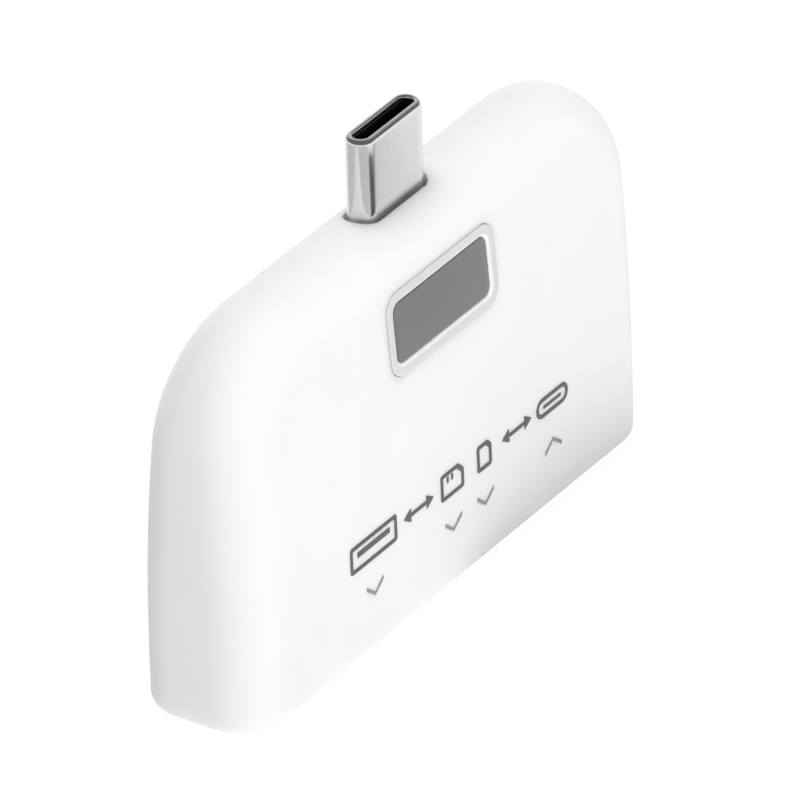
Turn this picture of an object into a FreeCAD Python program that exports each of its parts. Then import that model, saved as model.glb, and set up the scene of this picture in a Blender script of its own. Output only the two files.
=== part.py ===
import FreeCAD, Part
import math
import os

# A pocket hub and card reader. The plug points up, the front with its window looks along -Y,
# and the bottom end with the three ports stands on Z = 0. All sizes are in millimetres.

Vector = FreeCAD.Vector
os.makedirs("parts", exist_ok=True)

# Body
body_width = 53.8
body_height = 31.6
top_corner_radius = 9.8
bottom_thickness = 11.2
straight_height = 5.0
top_front = 4.1
top_back = 3.36
edge_radius = 4.1
bottom_edge_break = 0.5

# Walls and cavity of the housing
end_wall = 1.6
top_wall = 1.8
cavity_bottom_thickness = 7.5
cavity_draft = 0.5
cavity_knee_depth = 9.8
cavity_knee_radius = 42.0
cavity_corner_radius = 11.5
cavity_edge_break = 2.2
cavity_top_break = 1.2

# End cap in the mouth of the housing
cap_thickness = 1.6
cap_ledge = 0.4
cap_clearance = 0.1
cap_edge_break = 0.15
hook_width = 2.4
hook_thickness = 0.75
hook_length = 4.0
hook_reach = 0.4
hook_height = 1.0
hook_clearance = 0.1
side_hook_width = 3.2
pad_clearance = 0.05

# Circuit board and the guide ribs that hold its edges
board_thickness = 0.8
board_edge_clearance = 1.2
board_bottom = 2.1
board_to_cavity_top = 3.3
board_corner_radius = 5.0
rib_thickness = 0.9
rib_overlap = 1.0
rib_clearance = 0.1
rib_bottom = 6.6

# Plug
plug_width = 8.25
plug_thickness = 2.4
plug_reach = 6.65
plug_wall = 0.3
plug_lip = 0.45
plug_lip_depth = 0.35
plug_lip_break = 0.2
plug_slot_gap = 0.3
plug_mouth_width = 7.0
plug_mouth_thickness = 1.0
plug_mouth_depth = 5.2
plug_leg_width = 1.4
plug_leg_length = 2.0
plug_leg_clearance = 0.1
plug_pins = 12
plug_pitch = 0.5
plug_pin_width = 0.24
plug_pin_thickness = 0.12
plug_pin_tail = 1.7
plug_pin_bump = 0.16
plug_pin_clearance = 0.02
plug_channel_depth = 0.2
latch_thickness = 0.2
latch_arm_width = 0.3
latch_side_clearance = 0.12
latch_hook = 0.25
ground_spring_side_gap = 0.125
ground_spring_height = 2.0
ground_spring_thickness = 0.1
ground_spring_below_lip = 1.1

# Window
window_width = 14.15
window_height = 6.8
window_below_top = 7.45
window_corner_radius = 1.5
window_seat_depth = 0.75
window_proud = 0.1
window_fit = 0.05
frame_side = 0.95
lens_corner_radius = 0.8
lens_depth = 0.42
lens_proud = 0.02
guide_margin = 1.0
guide_length = 1.9

# Wide host socket
host_width = 13.1
host_thickness = 5.72
host_wall = 0.3
host_corner_radius = 0.7
host_length = 14.0
host_recess = 0.15
host_hole_gap = 0.15
host_block_length = 3.6
host_tongue_width = 11.1
host_tongue_thickness = 1.84
host_tongue_side_gap = 0.7
host_tongue_recess = 0.9
host_side_strip = 2.4
host_pin_width = 1.0
host_pin_thickness = 0.25
host_pin_bump = 0.45
host_pin_tail = 1.8
host_pin_inner = 1.0
host_pin_outer = 3.5
host_spring_window_width = 2.4
host_spring_window_length = 5.6
host_spring_width = 1.6
host_spring_bend = 0.42
host_spring_spacing = 5.6
host_leg_length = 1.2
host_leg_height = 2.2
host_board_gap = 0.15

# Large card socket
card_width = 24.4
card_thickness = 2.2
card_floor = 0.45
card_rail = 1.4
card_cover = 0.2
card_bottom = 1.9
card_length = 20.4
card_rear_wall = 1.8
card_rib_clearance = 0.3
card_slot_gap = 0.2
card_pins = 9
card_pitch = 2.5
card_pin_width = 1.0
card_pin_thickness = 0.2
card_pin_length = 6.0
card_pin_bump = 0.75
card_pin_tail = 0.9
card_window_width = 5.0
card_window_length = 7.0

# Small card socket
small_width = 11.4
small_thickness = 0.9
small_floor = 0.35
small_rail = 1.1
small_cover = 0.15
small_bottom = 1.9
small_length = 14.4
small_rear_wall = 1.2
small_slot_gap = 0.2
small_pins = 8
small_pitch = 1.1
small_pin_width = 0.5
small_pin_thickness = 0.12
small_pin_length = 4.5
small_pin_bump = 0.4
small_pin_tail = 0.7
small_window_width = 3.0
small_window_length = 4.0
slot_lead_in = 0.35

# Parts on the board
chip_length = 10.2
chip_width = 5.3
chip_height = 1.6
chip_standoff = 0.1
chip_lead_pairs = 14
chip_lead_pitch = 0.65
chip_lead_width = 0.3
chip_lead_thickness = 0.15
chip_lead_reach = 1.1
chip_above_host = 6.2
crystal_length = 3.2
crystal_width = 2.5
crystal_base_height = 0.45
crystal_lid_height = 0.3
crystal_lid_margin = 0.2
regulator_length = 2.9
regulator_width = 1.3
regulator_height = 1.0
regulator_lead_pitch = 0.95
regulator_lead_width = 0.4
regulator_lead_thickness = 0.15
regulator_lead_reach = 0.55
lamp_length = 1.6
lamp_width = 0.8
lamp_height = 0.6
small_part_length = 1.6
small_part_width = 0.8
capacitor_height = 0.8
resistor_height = 0.45
overrun = 5.0


# Shape helpers

def block(x_low, x_high, y_low, y_high, z_low, z_high):
    corner = Vector(x_low, y_low, z_low)
    return Part.makeBox(x_high - x_low, y_high - y_low, z_high - z_low, corner)


def prism(points, direction):
    outline = Part.makePolygon(points + [points[0]])
    return Part.Face(outline).extrude(direction)


def edges_along(solid, axis):
    chosen = []
    for edge in solid.Edges:
        start = edge.Vertexes[0].Point
        end = edge.Vertexes[-1].Point
        span = end - start
        if span.Length > 1e-6 and span.cross(axis).Length < 1e-6 * span.Length:
            chosen.append(edge)
    return chosen


def sharp_edges(solid):
    # Edges whose two faces meet at more than ten degrees.
    chosen = []
    for edge in solid.Edges:
        faces = solid.ancestorsOfType(edge, Part.Face)
        if len(faces) != 2:
            continue
        middle = edge.valueAt((edge.FirstParameter + edge.LastParameter) / 2)
        first = faces[0].normalAt(*faces[0].Surface.parameter(middle))
        second = faces[1].normalAt(*faces[1].Surface.parameter(middle))
        if first.getAngle(second) > math.radians(10):
            chosen.append(edge)
    return chosen


def rounded_block(width, thickness, radius, z_low, z_high, x=0.0, y=0.0):
    # Upright block whose four standing edges are rounded.
    solid = block(x - width / 2, x + width / 2, y - thickness / 2, y + thickness / 2, z_low, z_high)
    return solid.makeFillet(radius, edges_along(solid, Vector(0, 0, 1)))


def stadium(width, thickness, z_low, z_high):
    # Upright bar with two straight sides and two round ends.
    radius = thickness / 2
    straight = width / 2 - radius
    front = Part.makeLine(Vector(-straight, -radius, z_low), Vector(straight, -radius, z_low))
    right = Part.Arc(
        Vector(straight, -radius, z_low), Vector(straight + radius, 0, z_low), Vector(straight, radius, z_low)
    ).toShape()
    back = Part.makeLine(Vector(straight, radius, z_low), Vector(-straight, radius, z_low))
    left = Part.Arc(
        Vector(-straight, radius, z_low), Vector(-straight - radius, 0, z_low), Vector(-straight, -radius, z_low)
    ).toShape()
    return Part.Face(Part.Wire([front, right, back, left])).extrude(Vector(0, 0, z_high - z_low))


def strip(path, thickness, x_middle, width):
    # Sheet strip that follows a path of (y, z) points, with mitred bends.
    count = len(path)
    normals = []
    for index in range(count - 1):
        along_y = path[index + 1][0] - path[index][0]
        along_z = path[index + 1][1] - path[index][1]
        length = math.hypot(along_y, along_z)
        normals.append((-along_z / length, along_y / length))
    one_side = []
    other_side = []
    for index in range(count):
        before = normals[max(index - 1, 0)]
        after = normals[min(index, count - 2)]
        sum_y = before[0] + after[0]
        sum_z = before[1] + after[1]
        scale = thickness / (sum_y * sum_y + sum_z * sum_z)
        one_side.append(Vector(x_middle - width / 2, path[index][0] + sum_y * scale, path[index][1] + sum_z * scale))
        other_side.append(Vector(x_middle - width / 2, path[index][0] - sum_y * scale, path[index][1] - sum_z * scale))
    other_side.reverse()
    return prism(one_side + other_side, Vector(width, 0, 0))


def mirrored(path):
    return [(-y, z) for y, z in path]


def centred_places(count, pitch):
    return [(index - (count - 1) / 2) * pitch for index in range(count)]


def export(shape, name):
    shape.exportStep("parts/" + name + ".step")


# Form of the body

def outline_solid(half_width_low, z_low, z_high, corner_radius, end_draft):
    # Front outline carried through in Y: two ends, drafted or straight, and two rounded top corners.
    lean = math.tan(math.radians(end_draft)) * (z_high - z_low)
    half_width_high = half_width_low - lean
    corners = [
        Vector(-half_width_low, -overrun * 2, z_low),
        Vector(half_width_low, -overrun * 2, z_low),
        Vector(half_width_high, -overrun * 2, z_high),
        Vector(-half_width_high, -overrun * 2, z_high),
    ]
    solid = prism(corners, Vector(0, overrun * 4, 0))
    top_edges = [edge for edge in edges_along(solid, Vector(0, 1, 0)) if edge.CenterOfMass.z > (z_low + z_high) / 2]
    return solid.makeFillet(corner_radius, top_edges)


def profile_solid(front_edges, back_edges):
    # Side profile carried through in X; the front and the back both run upward and are joined at their ends.
    bottom = Part.makeLine(front_edges[0].firstVertex().Point, back_edges[0].firstVertex().Point)
    top = Part.makeLine(front_edges[-1].lastVertex().Point, back_edges[-1].lastVertex().Point)
    wire = Part.Wire(Part.__sortEdges__(front_edges + [top] + back_edges + [bottom]))
    return Part.Face(wire).translated(Vector(-body_width, 0, 0)).extrude(Vector(2 * body_width, 0, 0))


# The front and back stand upright at the bottom, then each leans in on an arc that starts tangent to the upright part
half_bottom = bottom_thickness / 2
arc_height = body_height - straight_height


def surface_at(z, top_half, depth):
    # Distance of the front or the back from the middle plane at a height, at a depth below the surface.
    lean_in = half_bottom - top_half
    crown_radius = (arc_height ** 2 + lean_in ** 2) / (2 * lean_in)
    rise_above = max(z - straight_height, 0.0)
    return half_bottom - crown_radius + math.sqrt((crown_radius - depth) ** 2 - rise_above ** 2)


def front_surface(z, depth=0.0):
    return surface_at(z, top_front, depth)


def face_edges(side, top_half):
    # Upright line and crown arc of the front (side -1) or the back (side 1), from below the bottom to above the top.
    upright = Part.makeLine(Vector(0, side * half_bottom, -overrun), Vector(0, side * half_bottom, straight_height))
    heights = (straight_height, (straight_height + body_height) / 2, body_height + overrun)
    arc = Part.Arc(*[Vector(0, side * surface_at(z, top_half, 0.0), z) for z in heights])
    return [upright, arc.toShape()]


def front_layer(depth_out, depth_in, half_width, z_low, z_high):
    # Layer of the front between two depths, parallel to the crowned surface.
    z_middle = (z_low + z_high) / 2
    arcs = []
    for depth in (depth_out, depth_in):
        points = [Vector(-half_width, -front_surface(z, depth), z) for z in (z_low, z_middle, z_high)]
        arcs.append((Part.Arc(*points).toShape(), points))
    low = Part.makeLine(arcs[0][1][0], arcs[1][1][0])
    high = Part.makeLine(arcs[0][1][2], arcs[1][1][2])
    wire = Part.Wire(Part.__sortEdges__([arcs[0][0], high, arcs[1][0], low]))
    return Part.Face(wire).extrude(Vector(2 * half_width, 0, 0))


# Outline and profile together, with the front and back edges rounded and the bottom edge broken
body_outline = outline_solid(body_width / 2, 0.0, body_height, top_corner_radius, 0.0)
body_profile = profile_solid(face_edges(-1, top_front), face_edges(1, top_back))
body = body_outline.common(body_profile).Solids[0]
rim = [edge for edge in sharp_edges(body) if edge.BoundBox.ZMax > 0.01]
body = body.makeFillet(edge_radius, rim).Solids[0]
bottom_loop = [edge for edge in sharp_edges(body) if edge.BoundBox.ZMax < 0.01]
body = body.makeChamfer(bottom_edge_break, bottom_loop).Solids[0]

# Cavity: drafted straight up to the knee, then an arc that follows the crown
cavity_half_width = body_width / 2 - end_wall
cavity_top = body_height - top_wall
cavity_knee_height = cavity_top - cavity_knee_depth
cavity_half_low = cavity_bottom_thickness / 2
draft = math.radians(cavity_draft)
knee_half = cavity_half_low - math.tan(draft) * cavity_knee_height
knee_centre_y = knee_half - cavity_knee_radius * math.cos(draft)
knee_centre_z = cavity_knee_height - cavity_knee_radius * math.sin(draft)


def cavity_half(z):
    # Half thickness of the cavity at a height.
    if z < cavity_knee_height:
        return cavity_half_low - math.tan(draft) * z
    return knee_centre_y + math.sqrt(cavity_knee_radius ** 2 - (z - knee_centre_z) ** 2)


def cavity_half_width_at(z):
    return cavity_half_width - math.tan(draft) * z


knee_top = cavity_top - cavity_top_break
top_half = cavity_half(knee_top) - cavity_top_break
knee_line = Part.makeLine(Vector(0, -cavity_half_low, 0), Vector(0, -knee_half, cavity_knee_height))
knee_points = [
    Vector(0, -cavity_half(z), z) for z in (cavity_knee_height, (cavity_knee_height + knee_top) / 2, knee_top)
]
knee_arc = Part.Arc(*knee_points).toShape()
top_slope = Part.makeLine(knee_points[2], Vector(0, -top_half, cavity_top))
cavity_outline = outline_solid(cavity_half_width, 0.0, cavity_top, cavity_corner_radius, cavity_draft)
cavity_front = [knee_line, knee_arc, top_slope]
cavity_back = [edge.mirror(Vector(0, 0, 0), Vector(0, 1, 0)) for edge in cavity_front]
cavity_profile = profile_solid(cavity_front, cavity_back)
corner_break = rounded_block(2 * cavity_half_width, cavity_bottom_thickness, cavity_edge_break, 0.0, cavity_top)
cavity = cavity_outline.common(cavity_profile).common(corner_break).Solids[0]


# Places that follow from the sizes
board_half = board_thickness / 2
board_half_width = cavity_half_width_at(board_bottom) - board_edge_clearance
board_top = cavity_top - board_to_cavity_top
plug_base = board_top
plug_tip = body_height + plug_reach
host_x = -board_half_width + host_side_strip + host_board_gap + host_width / 2
host_end = host_recess + host_length
card_half = card_width / 2 + card_rail + card_cover
card_edge_margin = rib_overlap + card_rib_clearance
card_x = board_half_width - card_edge_margin - card_half
card_y = board_half + card_floor + card_thickness / 2
small_x = card_x
small_y = -(board_half + small_floor + small_thickness / 2)
hook_x = (host_x + host_width / 2 + card_x - card_half) / 2

# End cap
mouth_half_width = cavity_half_width_at(cap_thickness) + cap_ledge
mouth_half = cavity_half(cap_thickness) + cap_ledge
mouth_radius = edge_radius - body_width / 2 + mouth_half_width
mouth = rounded_block(2 * mouth_half_width, 2 * mouth_half, mouth_radius, -overrun, cap_thickness)
cap_plate = rounded_block(
    2 * (mouth_half_width - cap_clearance),
    2 * (mouth_half - cap_clearance),
    mouth_radius - cap_clearance,
    0.0,
    cap_thickness,
)
cap_rim = [edge for edge in sharp_edges(cap_plate) if edge.BoundBox.ZMax < 0.01]
cap_plate = cap_plate.makeChamfer(cap_edge_break, cap_rim)
host_hole = rounded_block(
    host_width + 2 * host_hole_gap,
    host_thickness + 2 * host_hole_gap,
    host_corner_radius + host_hole_gap,
    -overrun,
    overrun,
    host_x,
)


def card_hole(width, thickness, gap, x, y):
    # Slot for a card with a sloped lead-in on the outside.
    half_width = width / 2 + gap
    half_height = thickness / 2 + gap
    slot = block(x - half_width, x + half_width, y - half_height, y + half_height, -overrun, overrun)
    wires = []
    for z, grow in ((-slot_lead_in, 2 * slot_lead_in), (slot_lead_in, 0.0)):
        wide = half_width + grow
        tall = half_height + grow
        points = [
            Vector(x - wide, y - tall, z),
            Vector(x + wide, y - tall, z),
            Vector(x + wide, y + tall, z),
            Vector(x - wide, y + tall, z),
        ]
        wires.append(Part.makePolygon(points + [points[0]]))
    return slot.fuse(Part.makeLoft(wires, True, True))


hook_top = cap_thickness + hook_length
hook_rows = []
hook_pockets = []
for side in (-1, 1):
    face = cavity_half(hook_top) - hook_clearance
    profile = [
        Vector(hook_x - hook_width / 2, side * (face - hook_thickness), cap_thickness),
        Vector(hook_x - hook_width / 2, side * face, cap_thickness),
        Vector(hook_x - hook_width / 2, side * face, hook_top - hook_height),
        Vector(hook_x - hook_width / 2, side * (face + hook_reach), hook_top - hook_height),
        Vector(hook_x - hook_width / 2, side * face, hook_top),
        Vector(hook_x - hook_width / 2, side * (face - hook_thickness), hook_top),
    ]
    hook_rows.append(prism(profile, Vector(hook_width, 0, 0)))
    reach = face + hook_reach + hook_clearance
    hook_pockets.append(
        block(
            hook_x - hook_width / 2 - hook_clearance,
            hook_x + hook_width / 2 + hook_clearance,
            min(0, side * reach),
            max(0, side * reach),
            hook_top - hook_height - hook_clearance,
            hook_top + hook_clearance,
        )
    )
    wall = cavity_half_width_at(hook_top) - hook_clearance
    profile = [
        Vector(side * (wall - hook_thickness), -side_hook_width / 2, cap_thickness),
        Vector(side * wall, -side_hook_width / 2, cap_thickness),
        Vector(side * wall, -side_hook_width / 2, hook_top - hook_height),
        Vector(side * (wall + hook_reach), -side_hook_width / 2, hook_top - hook_height),
        Vector(side * wall, -side_hook_width / 2, hook_top),
        Vector(side * (wall - hook_thickness), -side_hook_width / 2, hook_top),
    ]
    hook_rows.append(prism(profile, Vector(0, side_hook_width, 0)))
    reach = wall + hook_reach + hook_clearance
    hook_pockets.append(
        block(
            min(side * board_half_width, side * reach),
            max(side * board_half_width, side * reach),
            -side_hook_width / 2 - hook_clearance,
            side_hook_width / 2 + hook_clearance,
            hook_top - hook_height - hook_clearance,
            hook_top + hook_clearance,
        )
    )

pad_half = board_half + rib_clearance
pads = []
for x_low, x_high in (
    (-board_half_width, -board_half_width + host_side_strip / 2),
    (hook_x - hook_width / 2, hook_x + hook_width / 2),
    (board_half_width - card_edge_margin / 2, board_half_width),
):
    pads.append(block(x_low, x_high, -pad_half, pad_half, cap_thickness, board_bottom - pad_clearance))

card_opening = card_hole(card_width, card_thickness, card_slot_gap, card_x, card_y)
small_opening = card_hole(small_width, small_thickness, small_slot_gap, small_x, small_y)
end_cap = cap_plate.multiFuse(hook_rows + pads).cut([host_hole, card_opening, small_opening])
export(end_cap.removeSplitter(), "end_cap")


# Window: a stepped seat in the front wall, the frame with its light guide, and the lens
window_centre_height = body_height - window_below_top


def window_prism(grow, corner, y_low, y_high):
    # Window outline grown or shrunk on every side, carried through in Y.
    half_height = window_height / 2 + grow
    half_width = window_width / 2 + grow
    z_low = window_centre_height - half_height
    solid = block(-half_width, half_width, y_low, y_high, z_low, z_low + 2 * half_height)
    return solid.makeFillet(corner, edges_along(solid, Vector(0, 1, 0)))


def window_layer(depth_out, depth_in):
    reach = window_height
    return front_layer(
        depth_out, depth_in, window_width, window_centre_height - reach, window_centre_height + reach
    )


outside = -front_surface(0.0) - overrun
window_seat = window_prism(window_fit, window_corner_radius + window_fit, outside, 0.0).common(
    window_layer(-overrun, window_seat_depth)
)
guide_corner = window_corner_radius - guide_margin / 2
guide_hole = window_prism(window_fit - guide_margin, guide_corner, outside, 0.0)

frame_plate = window_prism(0.0, window_corner_radius, outside, 0.0).common(
    window_layer(-window_proud, window_seat_depth)
)
lens_hole = window_prism(window_fit - frame_side, lens_corner_radius + window_fit, outside, 0.0).common(
    window_layer(-overrun, lens_depth)
)
guide_back = -front_surface(window_centre_height) + guide_length
guide_plug = window_prism(-guide_margin, guide_corner, outside, guide_back).cut(
    window_layer(-2 * overrun, window_seat_depth)
)
window_frame = frame_plate.fuse(guide_plug).cut(lens_hole).removeSplitter()
export(window_frame, "window_frame")

window_lens = window_prism(-frame_side, lens_corner_radius, outside, 0.0).common(
    window_layer(-lens_proud, lens_depth)
)
export(window_lens, "window_lens")

# Housing: one moulded cup
plug_slot = stadium(
    plug_width + 2 * plug_slot_gap, plug_thickness + 2 * plug_slot_gap, cavity_top - overrun, body_height + overrun
)
ribs = []
rib_top = cavity_top - top_corner_radius
for side in (-1, 1):
    inner = board_half_width - rib_overlap
    outer = body_width / 2 - end_wall / 2
    for face in (-1, 1):
        near = face * (board_half + rib_clearance)
        far = face * (board_half + rib_clearance + rib_thickness)
        ribs.append(
            block(
                min(side * inner, side * outer),
                max(side * inner, side * outer),
                min(near, far),
                max(near, far),
                rib_bottom,
                rib_top,
            )
        )
housing = body.cut(cavity).multiFuse(ribs)
housing = housing.cut([mouth, plug_slot, window_seat, guide_hole] + hook_pockets)
housing = housing.removeSplitter().Solids[0]
export(housing, "housing")

# Circuit board with a cut-out for the host socket and two notches for the plug legs
board = block(-board_half_width, board_half_width, -board_half, board_half, board_bottom, board_top)
board_corners = [
    edge for edge in edges_along(board, Vector(0, 1, 0)) if edge.CenterOfMass.z > (board_bottom + board_top) / 2
]
board = board.makeFillet(board_corner_radius, board_corners)
host_cut_half = host_width / 2 + host_board_gap
board_cuts = [
    block(host_x - host_cut_half, host_x + host_cut_half, -overrun, overrun, 0.0, host_end + host_board_gap)
]
leg_low = plug_base - plug_leg_length
leg_outer = plug_width / 2
leg_inner = plug_width / 2 - plug_wall
for side in (-1, 1):
    near = side * (leg_inner - plug_leg_clearance)
    far = side * (leg_outer + plug_leg_clearance)
    board_cuts.append(
        block(min(near, far), max(near, far), -overrun, overrun, leg_low - plug_leg_clearance, board_top + overrun)
    )
circuit_board = board.cut(board_cuts)
export(circuit_board, "circuit_board")

# Plug shell: drawn tube with an inward lip at its mouth and two legs into the board
inner_width = plug_width - 2 * plug_wall
inner_thickness = plug_thickness - 2 * plug_wall
plug_outer = stadium(plug_width, plug_thickness, plug_base, plug_tip)
tip_edges = [edge for edge in plug_outer.Edges if edge.BoundBox.ZMin > plug_tip - 0.01]
plug_outer = plug_outer.makeChamfer(plug_lip_break, tip_edges)
plug_bore = stadium(inner_width, inner_thickness, plug_base - overrun, plug_tip - plug_lip_depth)
plug_mouth = stadium(plug_width - 2 * plug_lip, plug_thickness - 2 * plug_lip, plug_base, plug_tip + overrun)
plug_shell = plug_outer.cut([plug_bore, plug_mouth])
legs = []
for side in (-1, 1):
    legs.append(
        block(
            min(side * leg_inner, side * leg_outer),
            max(side * leg_inner, side * leg_outer),
            -plug_leg_width / 2,
            plug_leg_width / 2,
            leg_low,
            plug_base + plug_leg_length,
        ).common(stadium(plug_width, plug_thickness, leg_low, plug_tip))
    )
plug_shell = plug_shell.multiFuse(legs).cut(plug_bore).removeSplitter()
export(plug_shell, "plug_shell")

# Plug insulator with the mouth, a channel for every contact, the latch pocket and two spring recesses
insulator_top = plug_tip - plug_lip_depth
mouth_bottom = plug_tip - plug_lip_depth - plug_mouth_depth
insulator = stadium(inner_width, inner_thickness, plug_base, insulator_top)
pin_places = centred_places(plug_pins, plug_pitch)
mouth_half_thickness = plug_mouth_thickness / 2
insulator_cuts = [
    block(
        -plug_mouth_width / 2,
        plug_mouth_width / 2,
        -mouth_half_thickness,
        mouth_half_thickness,
        mouth_bottom,
        plug_tip + overrun,
    )
]
channel_half = plug_pin_width / 2 + plug_pin_clearance
channel_top = insulator_top - plug_pin_bump
for place in pin_places:
    for side in (-1, 1):
        near = side * board_half
        far = side * (mouth_half_thickness + plug_channel_depth)
        insulator_cuts.append(
            block(
                place - channel_half,
                place + channel_half,
                min(near, far),
                max(near, far),
                plug_base - overrun,
                channel_top,
            )
        )
latch_half = plug_mouth_width / 2 - latch_side_clearance
latch_bottom = (plug_base + mouth_bottom) / 2
insulator_cuts.append(
    block(-latch_half, latch_half, -latch_thickness / 2, latch_thickness / 2, latch_bottom, mouth_bottom + overrun)
)
spring_top = insulator_top - ground_spring_below_lip
spring_bottom = spring_top - ground_spring_height
half_inner = inner_thickness / 2
ground_spring_width = plug_width - plug_thickness - 2 * ground_spring_side_gap
for side in (-1, 1):
    near = side * (half_inner - ground_spring_thickness)
    insulator_cuts.append(
        block(
            -ground_spring_width / 2,
            ground_spring_width / 2,
            min(near, side * plug_thickness),
            max(near, side * plug_thickness),
            spring_bottom,
            spring_top,
        )
    )
plug_insulator = insulator.cut(insulator_cuts)
export(plug_insulator, "plug_insulator")

# Plug contacts: tail on the board, straight run in the channel, bump near the mouth
pin_y = board_half + plug_pin_thickness / 2
run_y = mouth_half_thickness + plug_pin_thickness / 2 + plug_pin_clearance
bump_z = insulator_top - plug_mouth_depth / 3
rise = plug_mouth_depth / 6
pin_path = [
    (pin_y, plug_base - plug_pin_tail),
    (pin_y, mouth_bottom - rise),
    (run_y, mouth_bottom),
    (run_y, bump_z - rise),
    (run_y - plug_pin_bump, bump_z),
    (run_y, bump_z + rise),
]
back_pins = [strip(pin_path, plug_pin_thickness, place, plug_pin_width) for place in pin_places]
front_pins = [strip(mirrored(pin_path), plug_pin_thickness, place, plug_pin_width) for place in pin_places]
export(Part.makeCompound(back_pins), "plug_contacts_back")
export(Part.makeCompound(front_pins), "plug_contacts_front")

# Latch fork between the two rows: a crossbar and two arms with inward hooks
arm_inner = latch_half - latch_arm_width
latch_arm_top = insulator_top - plug_mouth_depth / 4
latch_hook_low = latch_arm_top - 2 * latch_hook
latch_points = [
    (-latch_half, latch_bottom),
    (latch_half, latch_bottom),
    (latch_half, latch_arm_top),
    (arm_inner, latch_arm_top),
    (arm_inner - latch_hook, latch_hook_low + latch_hook),
    (arm_inner, latch_hook_low),
    (arm_inner, mouth_bottom),
    (-arm_inner, mouth_bottom),
    (-arm_inner, latch_hook_low),
    (-arm_inner + latch_hook, latch_hook_low + latch_hook),
    (-arm_inner, latch_arm_top),
    (-latch_half, latch_arm_top),
]
plug_latch = prism([Vector(x, -latch_thickness / 2, z) for x, z in latch_points], Vector(0, latch_thickness, 0))
export(plug_latch, "plug_latch")

# Ground springs: thin plates with three finger openings, between insulator and shell
for name, side in (("plug_ground_spring_front", -1), ("plug_ground_spring_back", 1)):
    near = side * (half_inner - ground_spring_thickness)
    far = side * half_inner
    plate = block(
        -ground_spring_width / 2, ground_spring_width / 2, min(near, far), max(near, far), spring_bottom, spring_top
    )
    finger_cuts = []
    for place in centred_places(3, ground_spring_width / 3):
        finger_cuts.append(
            block(
                place - ground_spring_width / 12,
                place + ground_spring_width / 12,
                -overrun,
                overrun,
                spring_bottom + ground_spring_height / 4,
                spring_top - ground_spring_height / 4,
            )
        )
    export(plate.cut(finger_cuts), name)

# Host socket shell: folded tube with two bent springs on each broad side and four legs on the board
tube = rounded_block(host_width, host_thickness, host_corner_radius, host_recess, host_end, host_x)
tube_bore = rounded_block(
    host_width - 2 * host_wall,
    host_thickness - 2 * host_wall,
    host_corner_radius - host_wall,
    host_recess - overrun,
    host_end + overrun,
    host_x,
)
host_shell = tube.cut(tube_bore)
window_low = host_recess + host_spring_window_length / 3
window_high = window_low + host_spring_window_length
wall_middle = host_thickness / 2 - host_wall / 2
spring_path = [
    (wall_middle, window_high + host_wall),
    (wall_middle - host_spring_bend, window_low + host_spring_window_length / 3),
    (wall_middle, window_low + host_wall),
]
spring_cuts = []
springs = []
for place in centred_places(2, host_spring_spacing):
    x = host_x + place
    spring_cuts.append(
        block(
            x - host_spring_window_width / 2,
            x + host_spring_window_width / 2,
            -overrun,
            overrun,
            window_low,
            window_high,
        )
    )
    springs.append(strip(spring_path, host_wall, x, host_spring_width))
    springs.append(strip(mirrored(spring_path), host_wall, x, host_spring_width))
leg_places = (host_end / 3, host_end * 3 / 4)
for side in (-1, 1):
    near = host_x + side * (host_width / 2 - host_wall)
    far = host_x + side * (host_width / 2 + host_board_gap + host_leg_length)
    for z in leg_places:
        springs.append(
            block(min(near, far), max(near, far), -board_half - host_wall, -board_half, z, z + host_leg_height)
        )
host_socket_shell = host_shell.cut(spring_cuts).multiFuse(springs).removeSplitter()
export(host_socket_shell, "host_socket_shell")

# Host socket contacts: spring on the tongue, run through the block, tail on the board
tongue_high = host_thickness / 2 - host_wall - host_tongue_side_gap
tongue_low = tongue_high - host_tongue_thickness
block_low = host_end - host_block_length
tongue_end = host_recess + host_tongue_recess
pin_seat = tongue_low - host_pin_thickness / 2
board_seat = -board_half - host_pin_thickness / 2
host_pin_path = [
    (pin_seat, tongue_end + host_tongue_recess),
    (pin_seat - host_pin_bump, tongue_end + 3 * host_tongue_recess),
    (pin_seat, tongue_end + 7 * host_tongue_recess),
    (pin_seat, block_low + host_block_length / 3),
    (board_seat, block_low + host_block_length * 2 / 3),
    (board_seat, host_end + host_pin_tail),
]
host_pins = []
for place in (-host_pin_outer, -host_pin_inner, host_pin_inner, host_pin_outer):
    host_pins.append(strip(host_pin_path, host_pin_thickness, host_x + place, host_pin_width))
export(Part.makeCompound(host_pins), "host_socket_contacts")

# Host socket body: block that fills the rear of the shell, and the tongue
rear_block = rounded_block(
    host_width - 2 * host_wall,
    host_thickness - 2 * host_wall,
    host_corner_radius - host_wall,
    block_low,
    host_end,
    host_x,
)
tongue = block(
    host_x - host_tongue_width / 2, host_x + host_tongue_width / 2, tongue_low, tongue_high, tongue_end, host_end
)
tongue_tip = [edge for edge in edges_along(tongue, Vector(1, 0, 0)) if edge.CenterOfMass.z < tongue_end + 0.01]
tongue = tongue.makeChamfer(host_wall, tongue_tip)
host_socket_body = rear_block.fuse(tongue).cut(host_pins).removeSplitter()
export(host_socket_body, "host_socket_body")


# Card sockets: moulded base, folded cover and bent contacts, on the face of the board that side points to

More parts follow.
